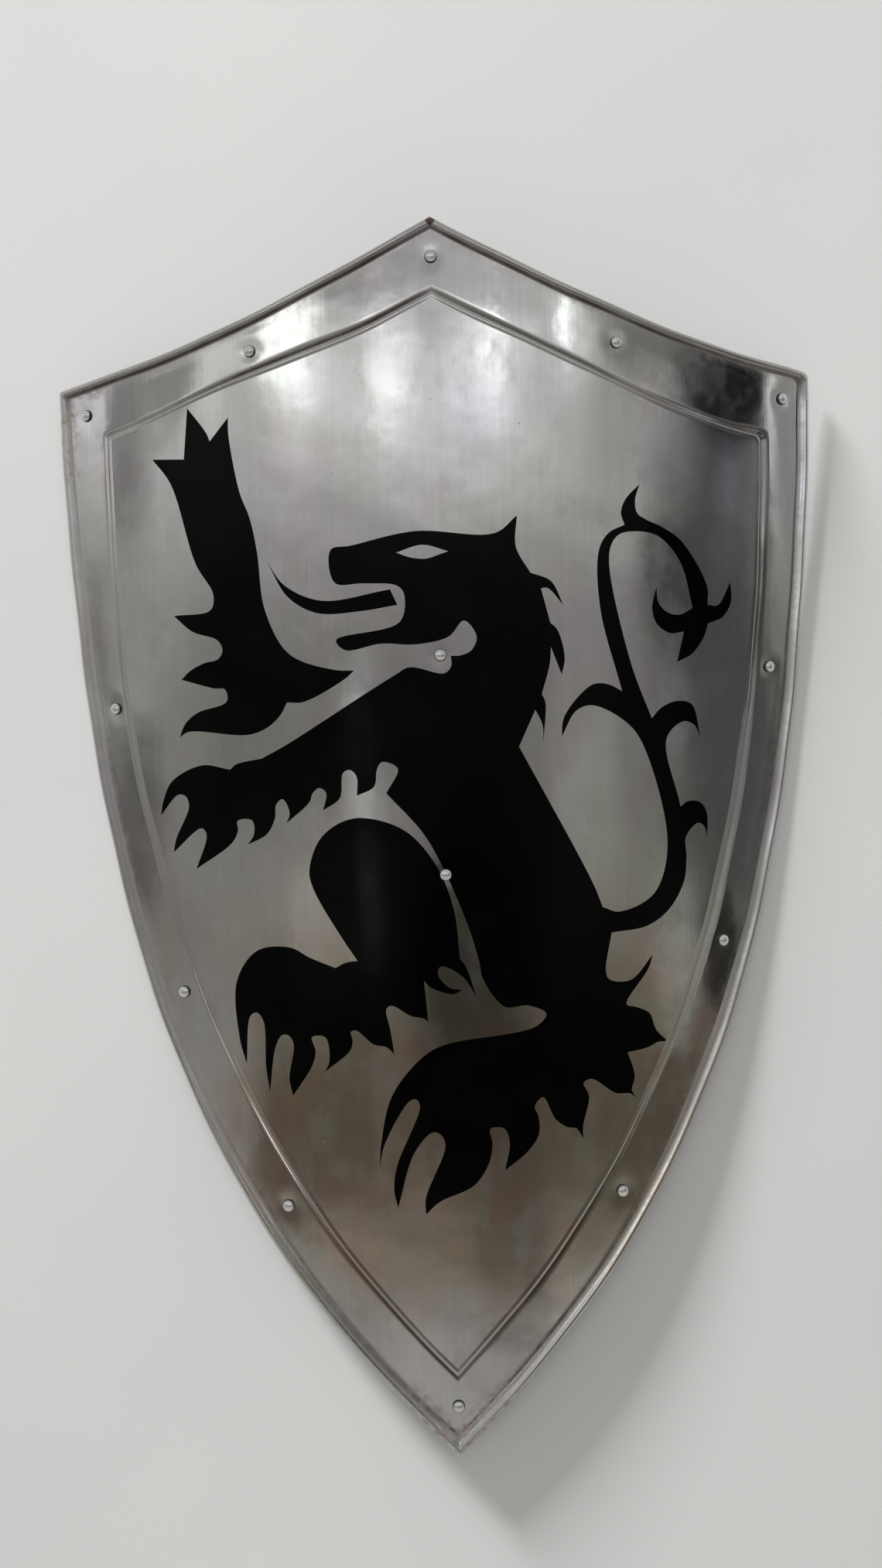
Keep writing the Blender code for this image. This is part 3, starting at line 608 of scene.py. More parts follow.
def make_plate(steel, enamel, back_steel):
    """The bent sheet as one closed shell: a grid round the rim and crease, and two filled fields.

    The grid's rows run from the back's field out to the roll's cut edge, round the roll, and in
    over the border and crease to the face's field.
    """
    rim_inset, rim_relief, rim_out = rim_rows()
    gaps = crease_gaps()
    flat_rows = np.linspace(0.0, 1.0, BORDER_ROWS + 2)[1:-1]
    # Along the top the hollow beside the roll is half as wide
    roll_foot = rim_inset[ROLL_ROWS - 1]
    top_rim = np.minimum(rim_inset, roll_foot + 0.5 * (rim_inset - roll_foot))
    flat_top = top_rim[-1] + flat_rows * (TOP_BORDER + gaps[0] - top_rim[-1])
    flat_side = rim_inset[-1] + flat_rows * (SIDE_BORDER + gaps[0] - rim_inset[-1])
    top_inset = np.concatenate([top_rim, flat_top, TOP_BORDER + gaps])
    side_inset = np.concatenate([rim_inset, flat_side, SIDE_BORDER + gaps])
    rim_count, crease_first = len(rim_inset), len(rim_inset) + len(flat_rows)

    face_flat = to_rings(top_inset, side_inset)
    height = np.zeros(face_flat.shape[:2])
    height[:rim_count] = rim_relief[:, None] * roll_share(face_flat[:rim_count])
    crease_flat = face_flat[crease_first:]
    crease = crease_relief(gaps[:, None], bevel_widths(crease_flat))
    height[crease_first:] = crease * crease_share(crease_flat)
    edge_inset = np.minimum(top_inset, side_inset)[:, None]
    calm = np.clip((edge_inset - CALM_START) / CALM_WIDTH, 0.0, 1.0)
    face = bent(face_flat, height + calm * unevenness(face_flat))

    kept = np.concatenate([np.arange(0, rim_count, 2), crease_first + np.array(BACK_CREASE_ROWS)])
    inward = np.vstack([rim_out, np.tile([0.0, 1.0], (len(gaps) + len(flat_rows), 1))])[kept]
    back_top = top_inset[kept] - SHEET * inward[:, 0]
    back_side = side_inset[kept] - SHEET * inward[:, 0]
    back_flat = to_rings(back_top, back_side)
    back_height = height[kept] - SHEET * inward[:, 1:2]
    back = bent(back_flat, back_height + calm[kept] * unevenness(back_flat))

    grid = np.concatenate([back[::-1], face])
    rows, stations = grid.shape[:2]
    normals = grid_normals(grid)
    normals[-1] = sheet_normals(face_flat[-1])
    normals[0] = -sheet_normals(back_flat[-1])
    grime = np.concatenate([np.full(back.shape[:2], BACK_GRIME), dirt_and_painted_shade(face_flat, rim_inset, gaps)])
    edge = np.concatenate([np.minimum(back_top, back_side)[::-1], np.minimum(top_inset, side_inset)])

    outlines = [smooth_outline(shape) for shape in (*LION_BLACK, LION_EYE)]
    points, faces = [grid.reshape(-1, 3)], [grid_faces(rows, stations)]
    slots = [np.repeat(np.where(np.arange(rows - 1) < len(back) - 1, 2, 0), stations)]
    all_normals, all_dirt_and_shade = [normals.reshape(-1, 3)], [grime.ravel()]
    all_edge = [np.repeat(edge, stations)]
    count = rows * stations
    fields = ((1.0, face_flat[-1], outlines, FIELD_STEP, (rows - 1) * stations),
              (-1.0, back_flat[-1], [], BACK_STEP, 0))
    for sign, border, lines, step, first in fields:
        flat, twin, triangles = triangulated(border, lines, step)
        new = twin < 0
        index = np.where(new, count + np.cumsum(new) - 1, first + twin)
        under = 0.0 if sign > 0.0 else -SHEET
        points.append(bent(flat[new], under + unevenness(flat[new])))
        all_normals.append(sign * sheet_normals(flat[new]))
        all_dirt_and_shade.append(np.zeros(new.sum()))
        all_edge.append(np.full(new.sum(), FIELD_EDGE_INSET))
        faces.append(index[triangles] if sign > 0.0 else index[triangles[:, ::-1]])
        middle = flat[triangles].mean(axis=1)
        slots.append(lion_slots(middle) if sign > 0.0 else np.full(len(triangles), 2))
        count += int(new.sum())
    plate = new_piece("steel_plate", laid(np.vstack(points)), [f for part in faces for f in part.tolist()],
                      [steel, enamel, back_steel], np.concatenate(slots),
                      np.vstack(all_normals) @ REST_TURN.T)
    for name, values in (("grime", all_dirt_and_shade), ("edge_inset", all_edge)):
        layer = plate.data.attributes.new(name, "FLOAT", "POINT")
        layer.data.foreach_set("value", np.concatenate(values).astype(np.float32))
    return plate


def turned(profile, sides):
    """A profile of (radius, height) turned round its axis, with a point at each pole."""
    angle = np.linspace(0.0, 2.0 * math.pi, sides, endpoint=False)
    ring_places = np.stack([np.cos(angle), np.sin(angle)], axis=1)
    body = np.array(profile[1:-1])
    around, level = body[:, None, :1] * ring_places, np.repeat(body[:, None, 1:], sides, axis=1)
    wall = np.concatenate([around, level], axis=-1)
    points = np.vstack([wall.reshape(-1, 3), [[0.0, 0.0, profile[0][1]]], [[0.0, 0.0, profile[-1][1]]]])
    count = len(body) * sides
    faces = grid_faces(len(body), sides).tolist()
    first, after = np.arange(sides), np.roll(np.arange(sides), -1)
    faces += np.stack([np.full(sides, count), first, after], axis=1).tolist()
    last = count - sides
    faces += np.stack([np.full(sides, count + 1), last + after, last + first], axis=1).tolist()
    return points, faces


def rivet_profile(held):
    """Flattened dome with a rounded lip, shank, and a peened tail behind what is held."""
    arc = np.radians(np.linspace(0.0, 84.0, 12))
    dome = [(HEAD_RADIUS * math.sin(a), HEAD_HEIGHT * math.cos(a) ** 0.9) for a in arc]
    lip = [(HEAD_RADIUS, 0.00012), (HEAD_RADIUS * 0.985, -0.00016), (SHANK_RADIUS, -0.0002)]
    tail = -held
    under = [(SHANK_RADIUS, tail), (TAIL_RADIUS * 0.97, tail), (TAIL_RADIUS, tail - 0.2 * TAIL_HEIGHT),
             (TAIL_RADIUS * 0.93, tail - 0.6 * TAIL_HEIGHT), (TAIL_RADIUS * 0.72, tail - 0.9 * TAIL_HEIGHT),
             (TAIL_RADIUS * 0.40, tail - TAIL_HEIGHT), (0.0, tail - TAIL_HEIGHT)]
    return dome + lip + under


def make_rivet(node, place, held, material):
    """A rivet whose axis is the sheet's normal at its place, with painted shade round its lip."""
    points, faces = turned(rivet_profile(held), RIVET_SIDES)
    from_axis = np.hypot(points[:, 0], points[:, 1]) / HEAD_RADIUS
    angle = place[0] / BEND_RADIUS
    across = np.array([math.cos(angle), 0.0, -math.sin(angle)])
    outward = np.array([math.sin(angle), 0.0, math.cos(angle)])
    frame_axes = np.stack([across, [0.0, 1.0, 0.0], outward])
    on_sheet = bent(np.array(place), 0.0)
    rivet = new_piece(f"{node}_dome", laid(points @ frame_axes + on_sheet), faces, [material])
    lip = rivet.data.attributes.new("grime", "FLOAT", "POINT")
    # Painted shade round the lip, rising towards the head's edge
    dirt_and_shade_level = smooth_step((from_axis - LIP_SHADE_START) / LIP_SHADE_WIDTH)
    lip.data.foreach_set("value", dirt_and_shade_level.astype(np.float32))
    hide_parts(node)
    return rivet


def rounded_path(corners, radii, steps=9):
    """A polyline whose inner corners are turned with arcs of the given radii."""
    path = [np.array(corners[0])]
    for before, here, after, radius in zip(corners, corners[1:], corners[2:], radii):
        before, here, after = (np.array(p) for p in (before, here, after))
        back = (before - here) / np.linalg.norm(before - here)
        ahead = (after - here) / np.linalg.norm(after - here)
        half = 0.5 * math.acos(float(np.clip(back @ ahead, -1.0, 1.0)))
        centre = here + (back + ahead) / np.linalg.norm(back + ahead) * radius / math.sin(half)
        start = here + back * radius / math.tan(half) - centre
        sense = math.copysign(1.0, float(back[0] * ahead[1] - back[1] * ahead[0]))
        angle = -sense * (math.pi - 2.0 * half) * np.linspace(0.0, 1.0, steps)
        path.append(centre + np.stack([np.cos(angle) * start[0] - np.sin(angle) * start[1],
                                       np.sin(angle) * start[0] + np.cos(angle) * start[1]], axis=1))
    path.append(np.array(corners[-1]))
    return np.vstack(path)


def grip_foot_depth():
    """How deep the grip's feet lie: the sheet, half a facet's rise under their width, and a gap."""
    return SHEET + 0.5 * GRIP_WIDTH * FACET / (2.0 * BEND_RADIUS) + CLEARANCE


def make_grip(material):
    """Strap grip: a rounded oblong section carried along the bent path of the strap's middle."""
    foot_z, bar_z = -grip_foot_depth(), -SHEET - GRIP_GAP
    rivet = 0.5 * GRIP_RIVET_SPACING
    foot_bend = rivet - GRIP_FOOT_BEND
    bar_bend = foot_bend - (foot_z - bar_z) / math.tan(math.radians(GRIP_LEG_ANGLE))
    half = [(rivet + GRIP_FOOT_END, foot_z), (foot_bend, foot_z), (bar_bend, bar_z)]
    corners = half + [(-v, z) for v, z in reversed(half)]
    foot_turn = GRIP_BEND_RADIUS + GRIP_THICKNESS
    path = rounded_path(corners, [foot_turn, GRIP_BEND_RADIUS, GRIP_BEND_RADIUS, foot_turn])
    run = np.gradient(path, axis=0)
    run /= np.linalg.norm(run, axis=1)[:, None]
    away = np.stack([run[:, 1], -run[:, 0]], axis=1)
    away *= np.where(away[:, 1:] > 0.0, -1.0, 1.0)
    middle = path + 0.5 * GRIP_THICKNESS * away
    corner = GRIP_CORNER_RADIUS
    turn = np.radians(np.arange(0.0, 360.0, 15.0))
    x = np.sign(np.cos(turn)) * (0.5 * GRIP_WIDTH - corner) + corner * np.cos(turn)
    y = np.sign(np.sin(turn)) * (0.5 * GRIP_THICKNESS - corner) + corner * np.sin(turn)
    points = np.stack([np.repeat(x[None], len(path), axis=0),
                       GRIP_MIDDLE + middle[:, :1] + y * away[:, :1],
                       middle[:, 1:] + y * away[:, 1:]], axis=-1)
    rows, sides = points.shape[:2]
    faces = grid_faces(rows, sides).tolist()
    faces += [list(range(sides)), list(range(rows * sides - 1, (rows - 1) * sides - 1, -1))]
    grip = new_piece("strap_grip", laid(points.reshape(-1, 3)), faces, [material])
    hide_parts("grip")
    return grip


class Value:
    """A number that varies over a surface, with arithmetic that adds Math nodes."""

    def __init__(self, finish, socket):
        self.finish, self.socket = finish, socket

    def apply(self, operation, *others, clamp=False):
        sockets = dict(enumerate((self, *others)))
        return self.finish.node("ShaderNodeMath", {"operation": operation, "use_clamp": clamp}, sockets)

    def __add__(self, other):
        return self.apply("ADD", other)

    def __sub__(self, other):
        return self.apply("SUBTRACT", other)

    def __mul__(self, other):
        return self.apply("MULTIPLY", other)

    def __truediv__(self, other):
        return self.apply("DIVIDE", other)

    def __rsub__(self, other):
        return (self * -1.0) + other

    __radd__, __rmul__ = __add__, __mul__

    def clamped(self):
        return self.apply("ADD", 0.0, clamp=True)

    def above(self, low, high):
        """0 below low, 1 above high, and a smooth rise between."""
        sockets = {"Value": self, "From Min": low, "From Max": high}
        return self.finish.node("ShaderNodeMapRange", {"interpolation_type": "SMOOTHSTEP"}, sockets)


class Finish:
    """The nodes of one finish, added by type."""

    def __init__(self, tree):
        self.tree = tree

    def node(self, kind, settings=None, sockets=None, out=0):
        """A node of that type: its settings first, then its sockets, as values or links."""
        node = self.tree.nodes.new(kind)
        for name, setting in (settings or {}).items():
            if name == "stops":
                ramp = node.color_ramp.elements
                for _ in setting[2:]:
                    ramp.new(0.5)
                for stop, (place, _) in zip(ramp, setting):
                    stop.position = place
                for stop, (_, colour) in zip(ramp, setting):
                    stop.color = (*colour, 1.0)
            else:
                setattr(node, name, setting)
        for name, given in (sockets or {}).items():
            if isinstance(given, Value):
                self.tree.links.new(given.socket, node.inputs[name])
            elif isinstance(given, tuple) and len(given) == 3 and node.inputs[name].type == "RGBA":
                node.inputs[name].default_value = (*given, 1.0)
            else:
                node.inputs[name].default_value = given
        return Value(self, node.outputs[out])

    def mixed(self, share, first, second):
        """The first colour, and the second where the share is 1."""
        return self.node("ShaderNodeMix", {"data_type": "RGBA"}, {0: share, 6: first, 7: second}, out=2)

    def noise(self, place, scale, detail, roughness):
        """Cloudy noise about 0.5, finer for a larger scale."""
        return self.node("ShaderNodeTexNoise", None,
                         {"Vector": place, "Scale": scale, "Detail": detail, "Roughness": roughness})

    def stretched(self, place, stretch, shift=(0.0, 0.0, 0.0)):
        """The place scaled along each axis, then shifted."""
        return self.node("ShaderNodeMapping", None, {"Vector": place, "Scale": stretch, "Location": shift})

    def leaned(self, strength, distance, height):
        """The normal leaned by a height that is too fine for the mesh."""
        sockets = {"Strength": strength, "Distance": distance, "Height": height}
        return self.node("ShaderNodeBump", None, sockets)

    def carried(self, name):
        """A number stored on the mesh's points."""
        return self.node("ShaderNodeAttribute", {"attribute_name": name}, None, out=2)

    def near(self, place, at, width, height, share=1.0):
        """The share near a place and 0 beyond an ellipse round it, with a smooth fall between."""
        scale, shift = (1.0 / width, 1.0 / height, 0.0), (-at[0] / width, -at[1] / height, 0.0)
        away = self.node("ShaderNodeVectorMath", {"operation": "MULTIPLY_ADD"},
                         {0: place, 1: scale, 2: shift})
        gone = self.node("ShaderNodeVectorMath", {"operation": "DOT_PRODUCT"}, {0: away, 1: away}, out=1)
        sockets = {"Value": gone, "From Min": 0.3, "From Max": 1.0, "To Min": share, "To Max": 0.0}
        return self.node("ShaderNodeMapRange", {"interpolation_type": "SMOOTHSTEP"}, sockets)


def new_finish(name):
    """A new material, its nodes, and the place on the object."""
    material = bpy.data.materials.new(name)
    material.use_nodes = True
    finish = Finish(material.node_tree)
    place = finish.node("ShaderNodeTexCoord", None, None, out=3)
    return material, finish, place


def shaded(finish, varying, fixed):
    """Feeds the surface shader: what varies by links, what is the same all over as plain values."""
    shader = finish.tree.nodes["Principled BSDF"]
    for name, value in fixed.items():
        shader.inputs[name].default_value = (*value, 1.0) if isinstance(value, tuple) else value
    for name, value in varying.items():
        finish.tree.links.new(value.socket, shader.inputs[name])


def polished_steel():
    """Steel polished lengthways: fine streaks, cloudy patches, heat tints, painted warm reflections in the
    lower field, dark specks, and dirt and painted shade in the hollow by the roll, along the crease and in
    the apex fold.
    """
    material, finish, place = new_finish("polished_steel")
    fine = finish.noise(finish.stretched(place, (1500.0, 22.0, 60.0)), 1.0, 3.0, 0.6)
    broad = finish.noise(finish.stretched(place, (260.0, 7.0, 12.0), (3.0, 1.0, 0.0)), 1.0, 3.0, 0.55)
    cloud = finish.noise(place, 13.0, 4.0, 0.55)
    patch = finish.noise(finish.stretched(place, (1.0, 0.5, 1.0), (0.31, 0.17, 0.0)), 34.0, 3.0, 0.6)
    tint = finish.noise(finish.stretched(place, (1.0, 1.0, 1.0), (5.1, 2.3, 0.7)), 7.0, 2.0, 0.5)
    smudge = finish.noise(finish.stretched(place, (1.0, 0.6, 1.0), (2.7, 4.1, 1.3)), 52.0, 5.0, 0.62)
    hairs = finish.noise(finish.stretched(place, (900.0, 9.0, 40.0), (9.0, 2.0, 5.0)), 1.0, 2.0, 0.5)
    clean = finish.mixed(cloud.above(0.36, 0.66), (0.62, 0.62, 0.61), (0.53, 0.525, 0.51))
    clean = finish.mixed(tint.above(0.50, 0.68) * 0.50, clean, (0.57, 0.53, 0.62))
    clean = finish.mixed((1.0 - tint).above(0.52, 0.70) * 0.45, clean, (0.52, 0.555, 0.49))
    clean = finish.mixed(patch.above(0.52, 0.72) * 0.35, clean, (0.50, 0.44, 0.42))
    # Painted warm reflections in the lower field: brown, pink and green tints laid into the colour there
    low_field_reflection = finish.near(place, (0.015, -0.150), 0.17, 0.15)
    warm_reflection = finish.mixed(smudge.above(0.40, 0.62), (0.55, 0.40, 0.28), (0.47, 0.44, 0.36))
    clean = finish.mixed(low_field_reflection * (0.30 + cloud * 0.40), clean, warm_reflection)
    clean = finish.mixed(low_field_reflection * patch.above(0.50, 0.66) * 0.50, clean, (0.64, 0.44, 0.37))
    clean = finish.mixed(low_field_reflection * tint.above(0.42, 0.58) * 0.40, clean, (0.43, 0.49, 0.41))
    streaked = finish.mixed((fine * 0.5 + broad * 0.5).above(0.40, 0.62) * 0.12, clean, (0.38, 0.375, 0.36))
    streaked = finish.mixed(hairs.above(0.66, 0.74) * 0.30, streaked, (0.72, 0.72, 0.71))
    streaked = finish.mixed(smudge.above(0.55, 0.72) * 0.16, streaked, (0.33, 0.31, 0.295))
    rust_spread = finish.noise(place, 160.0, 5.0, 0.65)
    left_corner = finish.near(place, (-0.222, 0.262), 0.035, 0.05)
    foot = finish.near(place, (0.0, -0.345), 0.045, 0.05)
    edge = finish.carried("edge_inset")
    rim = 1.0 - edge.above(0.006, 0.016)
    rust = (left_corner * 0.55 + foot * 0.55 + 0.12) * rim * rust_spread.above(0.42, 0.66)
    rusty = finish.mixed(rust.clamped(), streaked, (0.16, 0.085, 0.045))
    specks = finish.noise(finish.stretched(place, (1.0, 1.0, 1.0), (8.0, 3.0, 1.0)), 330.0, 2.0, 0.5)
    # Painted shade in the fold where the rim dips at the apex
    apex_fold_shade = finish.near(place, (0.0, 0.3520), 0.0036, 0.0034)
    # Dirt and painted shade carried on the mesh, the dark specks and the painted shade in the apex fold
    # darken the steel to brown
    carried_dirt_and_shade = finish.carried("grime") * (0.45 + patch * 0.9)
    grime = (carried_dirt_and_shade + specks.above(0.765, 0.80) * 0.6 + apex_fold_shade).clamped()
    colour = finish.mixed(grime, rusty, (0.060, 0.042, 0.032))
    field = edge.above(0.030, 0.042)
    rough = 0.060 + field * 0.040 + cloud.above(0.35, 0.7) * 0.035 + patch.above(0.45, 0.75) * 0.025
    rough = rough + smudge.above(0.45, 0.70) * 0.060 + grime * 0.25 + rust.clamped() * 0.3
    scratch = finish.noise(finish.stretched(place, (700.0, 5.0, 30.0), (7.0, 4.0, 0.0)), 1.0, 2.0, 0.5)
    hammered = finish.noise(place, 210.0, 2.0, 0.5) * (foot * 0.8 + 0.06) * rim
    dents = finish.noise(place, 26.0, 2.0, 0.5) * 4.5 + finish.noise(place, 85.0, 2.0, 0.5) * 0.9
    relief = fine * 0.05 + scratch.above(0.62, 0.74) * -0.06 + broad * 0.30 + dents + hammered * 4.0
    leaned = finish.leaned(0.55, 0.00006, relief)
    metal = 1.0 - grime * 0.6 - rust.clamped() * 0.7
    shaded(finish, {"Base Color": colour, "Roughness": rough, "Metallic": metal, "Normal": leaned}, {})
    return material


def black_enamel():
    """Gloss black enamel, a little hazy, with faint brush lines along the shield."""
    material, finish, place = new_finish("black_enamel")
    haze = finish.noise(place, 24.0, 3.0, 0.55)
    lines = finish.noise(finish.stretched(place, (300.0, 9.0, 20.0)), 1.0, 2.0, 0.5)
    colour = finish.mixed(haze.above(0.4, 0.7), (0.0003, 0.0003, 0.0004), (0.0008, 0.0008, 0.0008))
    rough = 0.09 + haze.above(0.35, 0.7) * 0.06 + lines * 0.03
    varying = {"Base Color": colour, "Roughness": rough, "Normal": finish.leaned(0.4, 0.00005, lines)}
    shaded(finish, varying, {"Metallic": 0.0, "Specular IOR Level": 0.09})
    return material


def back_steel():
    """The sheet's back as it came from the mill: dull, blotched, with a few brown stains."""
    material, finish, place = new_finish("mill_steel")
    blotch = finish.noise(place, 18.0, 5.0, 0.6)
    grain = finish.noise(finish.stretched(place, (420.0, 60.0, 60.0)), 1.0, 3.0, 0.6)
    stain = finish.noise(place, 55.0, 5.0, 0.65)
    colour = finish.mixed(blotch.above(0.35, 0.68), (0.36, 0.355, 0.345), (0.24, 0.235, 0.23))
    colour = finish.mixed(stain.above(0.60, 0.74) * 0.55, colour, (0.15, 0.10, 0.065))
    rough = 0.42 + blotch.above(0.35, 0.7) * 0.14 + grain * 0.06
    varying = {"Base Color": colour, "Roughness": rough, "Normal": finish.leaned(0.5, 0.00008, grain + stain)}
    shaded(finish, varying, {"Metallic": 1.0})
    return material


def grip_steel():
    """Plain strap steel, blotched, with a fine grain."""
    material, finish, place = new_finish("strap_steel")
    grain = finish.noise(finish.stretched(place, (500.0, 30.0, 80.0)), 1.0, 3.0, 0.6)
    blotch = finish.noise(place, 60.0, 4.0, 0.6)
    colour = finish.mixed(blotch.above(0.38, 0.66), (0.42, 0.41, 0.40), (0.27, 0.26, 0.245))
    rough = 0.34 + blotch.above(0.4, 0.7) * 0.16 + grain * 0.06
    varying = {"Base Color": colour, "Roughness": rough, "Normal": finish.leaned(0.5, 0.00007, grain)}
    shaded(finish, varying, {"Metallic": 1.0})
    return material


def rivet_metal():
    """Satin aluminium, finely pocked, with painted shade round the lip."""
    material, finish, place = new_finish("rivet_aluminium")
    pocks = finish.noise(place, 1400.0, 3.0, 0.6)
    haze = finish.noise(place, 260.0, 3.0, 0.5)
    clean = finish.mixed(haze.above(0.4, 0.65), (0.86, 0.86, 0.85), (0.74, 0.735, 0.72))
    # Painted shade round the lip, where the head meets the sheet
    lip = finish.carried("grime") * (0.75 + pocks * 0.4)
    colour = finish.mixed(lip.clamped(), clean, (0.045, 0.040, 0.036))
    rough = 0.24 + pocks * 0.10 + lip * 0.15
    varying = {"Base Color": colour, "Roughness": rough, "Normal": finish.leaned(0.35, 0.00006, pocks)}
    shaded(finish, varying, {"Metallic": 1.0})
    return material


def pale_floor():
    """Smooth pale grey, with faint wide clouds."""
    material, finish, place = new_finish("pale_floor")
    wave = finish.noise(place, 2.2, 3.0, 0.5)
    colour = finish.mixed(wave.above(0.3, 0.7), (0.70, 0.705, 0.695), (0.66, 0.665, 0.66))
    shaded(finish, {"Base Color": colour}, {"Roughness": 0.85})
    return material


def make_floor(height):
    """One square at the height of the shield's lowest point."""
    corners = FLOOR_HALF_WIDTH * np.array([(-1.0, -1.0), (1.0, -1.0), (1.0, 1.0), (-1.0, 1.0)])
    points = np.column_stack([corners, np.full(len(corners), height)])
    floor = new_piece("floor", points, [[0, 1, 2, 3]], [pale_floor()])
    floor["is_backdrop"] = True


FLOOR_HALF_WIDTH = 6.0
LEAST_RISE = 0.12
HORIZON_START, HORIZON_END, HORIZON_COLOUR = 0.18, 0.45, (0.50, 0.505, 0.50)

# What the steel mirrors: brightness by how far towards the apex the mirrored ray leans, plus 0.5
SKY_STOPS = [
    (0.04, (0.47, 0.46, 0.44)),
    (0.09, (0.46, 0.44, 0.41)),
    (0.12, (0.34, 0.31, 0.275)),
    (0.16, (0.250, 0.218, 0.185)),
    (0.20, (0.135, 0.112, 0.090)),
    (0.25, (0.125, 0.102, 0.080)),
    (0.30, (0.145, 0.122, 0.098)),
    (0.35, (0.235, 0.215, 0.190)),
    (0.40, (0.31, 0.295, 0.265)),
    (0.46, (0.285, 0.275, 0.255)),
    (0.52, (0.235, 0.23, 0.215)),
    (0.60, (0.265, 0.255, 0.245)),
    (0.64, (0.32, 0.31, 0.30)),
    (0.68, (0.44, 0.43, 0.415)),
    (0.72, (0.60, 0.595, 0.585)),
    (0.77, (0.90, 0.90, 0.90)),
    (0.84, (1.08, 1.085, 1.09)),
    (0.865, (0.58, 0.58, 0.58)),
    (0.90, (0.44, 0.435, 0.435)),
]

# Soft boxes and dark flags in that light: lean to the right and towards the apex, their half
# sizes, colour, and share
SOFT_BOXES = [
    ((-1.45, 0.13), 0.55, 0.10, (0.48, 0.48, 0.46), 0.8),
    ((-1.05, 0.02), 0.25, 0.10, (0.34, 0.335, 0.32), 0.8),
    ((-1.50, -0.03), 0.30, 0.09, (0.145, 0.14, 0.13), 0.9),
    ((-1.16, 0.32), 0.30, 0.07, (0.33, 0.315, 0.295), 0.95),
    ((-0.98, -0.22), 0.38, 0.14, (0.33, 0.32, 0.30), 0.9),
    ((-0.42, -0.40), 0.25, 0.09, (0.36, 0.35, 0.33), 0.85),
    ((-0.42, -0.11), 0.15, 0.08, (0.43, 0.40, 0.37), 0.8),
    ((-0.66, 0.28), 0.20, 0.06, (0.56, 0.56, 0.55), 0.7),
    ((0.48, 0.00), 0.17, 0.14, (0.37, 0.36, 0.33), 0.8),
    ((0.87, -0.13), 0.15, 0.08, (0.42, 0.425, 0.40), 0.9),
    ((0.20, 0.385), 0.28, 0.05, (0.62, 0.615, 0.62), 0.8),
    ((0.62, 0.29), 0.17, 0.08, (0.46, 0.46, 0.45), 0.8),
    ((0.85, 0.345), 0.34, 0.06, (0.22, 0.22, 0.21), 1.0),
    ((1.30, 0.08), 0.64, 0.25, (0.090, 0.093, 0.090), 1.0),
    ((1.36, 0.225), 0.15, 0.05, (0.25, 0.24, 0.28), 0.9),
    ((1.72, 0.19), 0.22, 0.10, (0.17, 0.17, 0.16), 0.9),
    ((2.30, 0.26), 0.34, 0.14, (0.30, 0.30, 0.28), 0.95),
    ((1.41, 0.300), 0.58, 0.075, (0.010, 0.010, 0.009), 1.0),
    ((1.18, -0.130), 0.20, 0.06, (0.025, 0.025, 0.023), 1.0),
    ((0.09, -0.14), 0.25, 0.15, (0.050, 0.046, 0.040), 1.0),
    ((-0.23, -0.085), 0.045, 0.055, (2.2, 2.25, 2.3), 0.9),
    ((-0.25, 0.036), 0.045, 0.024, (1.8, 1.8, 1.85), 0.8),
    ((0.40, 0.305), 0.10, 0.050, (0.60, 0.60, 0.60), 0.9),
    ((-1.55, 0.255), 0.32, 0.09, (0.13, 0.125, 0.12), 0.8),
    ((0.89, 0.155), 0.24, 0.055, (0.055, 0.055, 0.052), 0.9),
    ((0.90, 0.240), 0.20, 0.050, (0.21, 0.21, 0.205), 0.8),
    ((0.86, 0.045), 0.18, 0.060, (0.24, 0.24, 0.235), 0.9),
    ((0.42, -0.05), 0.10, 0.10, (0.36, 0.355, 0.33), 0.9),
    ((0.17, -0.345), 0.17, 0.085, (0.10, 0.085, 0.075), 0.8),
    ((-0.48, 0.345), 0.15, 0.060, (2.1, 2.15, 2.15), 1.0),
    ((-0.13, 0.322), 0.11, 0.045, (2.0, 2.0, 2.0), 1.0),
    ((-0.24, 0.390), 0.11, 0.035, (0.42, 0.41, 0.41), 0.9),
    ((0.15, 0.315), 0.13, 0.045, (1.35, 1.35, 1.42), 1.0),
    ((0.185, 0.322), 0.05, 0.030, (2.4, 2.4, 2.45), 1.0),
    ((0.43, 0.358), 0.028, 0.045, (2.3, 2.35, 2.4), 1.0),
]


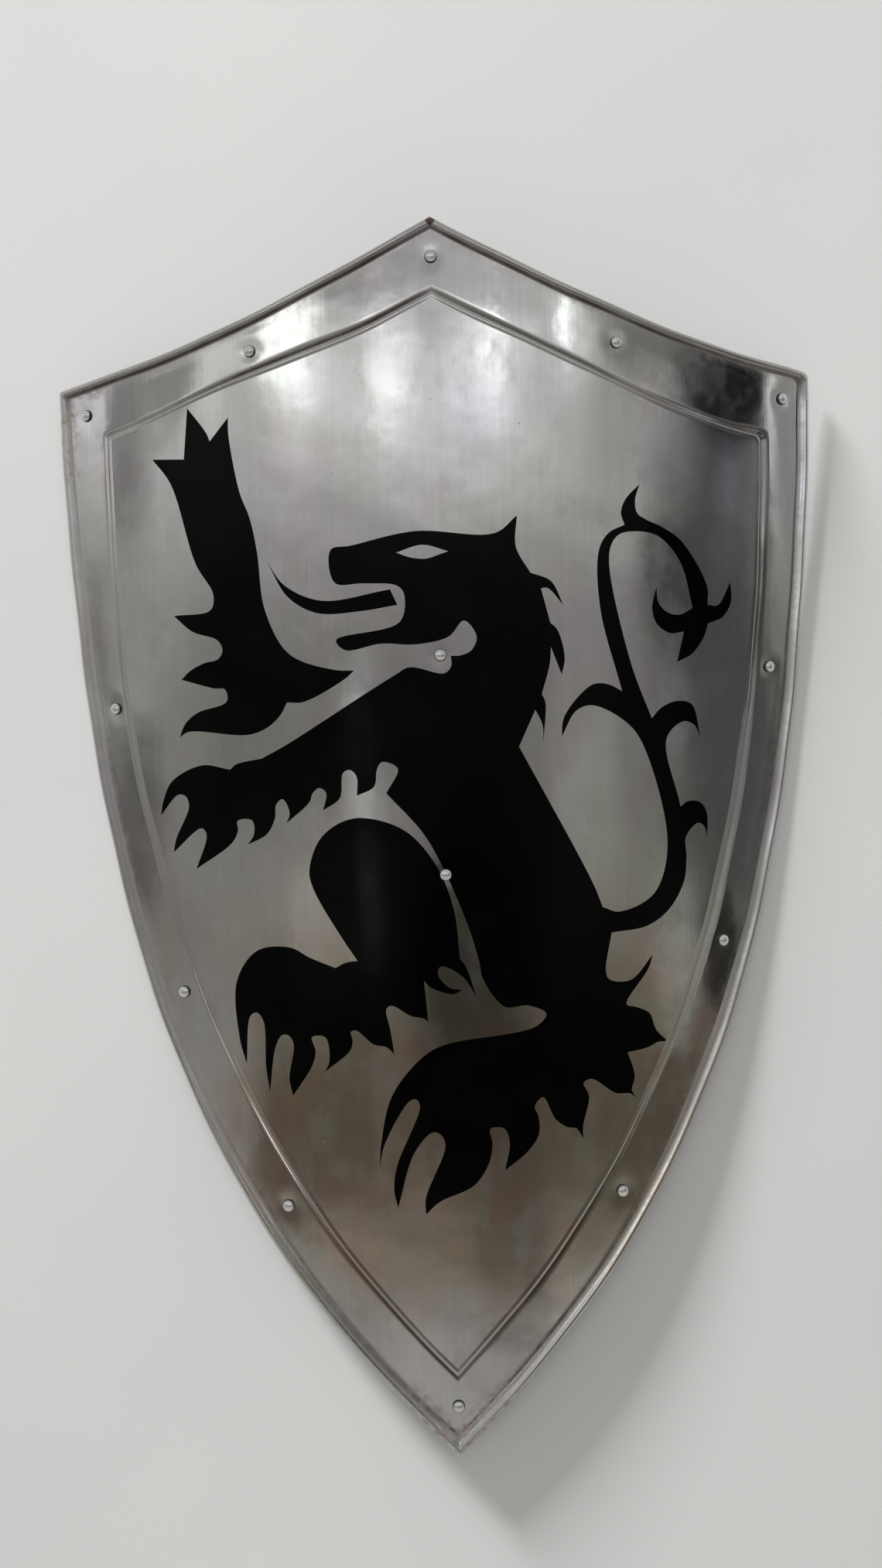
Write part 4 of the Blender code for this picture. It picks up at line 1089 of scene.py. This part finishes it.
def make_sky():
    """Studio light from all round, worked out from the direction that each ray leaves in.

    Above the shield the brightness follows the ray's lean towards the apex, which is its rise
    along the shield over the rest of it, with soft boxes and dark flags in it. Towards the
    horizon it is an even pale grey.
    """
    world = bpy.data.worlds.new("studio")
    world.use_nodes = True
    bpy.context.scene.world = world
    finish = Finish(world.node_tree)
    ray = finish.node("ShaderNodeTexCoord", None, None, out=0)
    lean = []
    for axis in REST_TURN.T:
        lean.append(finish.node("ShaderNodeVectorMath", {"operation": "DOT_PRODUCT"},
                                {0: ray, 1: tuple(float(a) for a in axis)}, out=1))
    across, along, up = lean
    side = across / up.apply("MAXIMUM", LEAST_RISE)
    reach = along / (across * across + up * up).apply("POWER", 0.5).apply("MAXIMUM", LEAST_RISE)
    light = finish.node("ShaderNodeValToRGB", {"stops": SKY_STOPS}, {"Fac": (reach + 0.5).clamped()})
    lean_place = finish.node("ShaderNodeCombineXYZ", None, {"X": side, "Y": reach})
    for at, width, height, colour, share in SOFT_BOXES:
        light = finish.mixed(finish.near(lean_place, at, width, height, share), light, colour)
    light = finish.mixed(up.above(HORIZON_START, HORIZON_END), HORIZON_COLOUR, light)
    background = world.node_tree.nodes["Background"]
    world.node_tree.links.new(light.socket, background.inputs["Color"])
    background.inputs["Strength"].default_value = 1.0


def make_lamp(name, place, target, size, watts):
    """A square lamp aimed at its target, which lights but isn't mirrored."""
    light = bpy.data.lights.new(name, "AREA")
    light.shape, light.size, light.energy = "SQUARE", size, watts
    lamp = bpy.data.objects.new(name, light)
    bpy.context.scene.collection.objects.link(lamp)
    lamp.location = place
    lamp.rotation_euler = (Vector(target) - Vector(place)).to_track_quat("-Z", "Y").to_euler()
    lamp.visible_camera = False
    lamp.visible_glossy = False


def make_camera():
    """The photograph's camera: its axes are the sheet's turned by CAMERA_TURN about x, y, then z."""
    turn_x, turn_y, turn_z = CAMERA_TURN
    turn = Matrix.Rotation(turn_z, 3, "Z") @ Matrix.Rotation(turn_y, 3, "Y") @ Matrix.Rotation(turn_x, 3, "X")
    stand = turn.transposed()
    pose = stand.to_4x4()
    pose.translation = stand @ Vector(CAMERA_PLACE)
    data = bpy.data.cameras.new("camera")
    data.sensor_fit, data.sensor_width = "AUTO", 36.0
    data.lens = FOCAL_PX / IMAGE_HEIGHT_PX * data.sensor_width
    data.clip_start, data.clip_end = 0.01, 50.0
    camera = bpy.data.objects.new("camera", data)
    bpy.context.scene.collection.objects.link(camera)
    camera.matrix_world = REST @ pose
    bpy.context.scene.camera = camera


plate = make_plate(polished_steel(), black_enamel(), back_steel())
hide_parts("shield_plate")
pieces = [plate, make_grip(grip_steel())]
aluminium = rivet_metal()
for node_name, flat_place in RIVET_PLACES.items():
    held_depth = grip_foot_depth() + GRIP_THICKNESS if node_name in GRIP_RIVET_PLACES else SHEET
    pieces.append(make_rivet(node_name, flat_place, held_depth, aluminium))
for piece in pieces:
    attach(piece, "root")

make_floor(min(0.0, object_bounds()[0].z))
make_sky()
make_lamp("low_key", (-3.3, 5.0, 1.60), (0.05, -0.1, 0.0), 1.2, 640.0)
make_lamp("overhead_fill", (0.3, 1.0, 3.2), (0.0, 0.0, 0.0), 2.0, 12.0)
make_camera()
bpy.context.scene.view_settings.view_transform = "Standard"
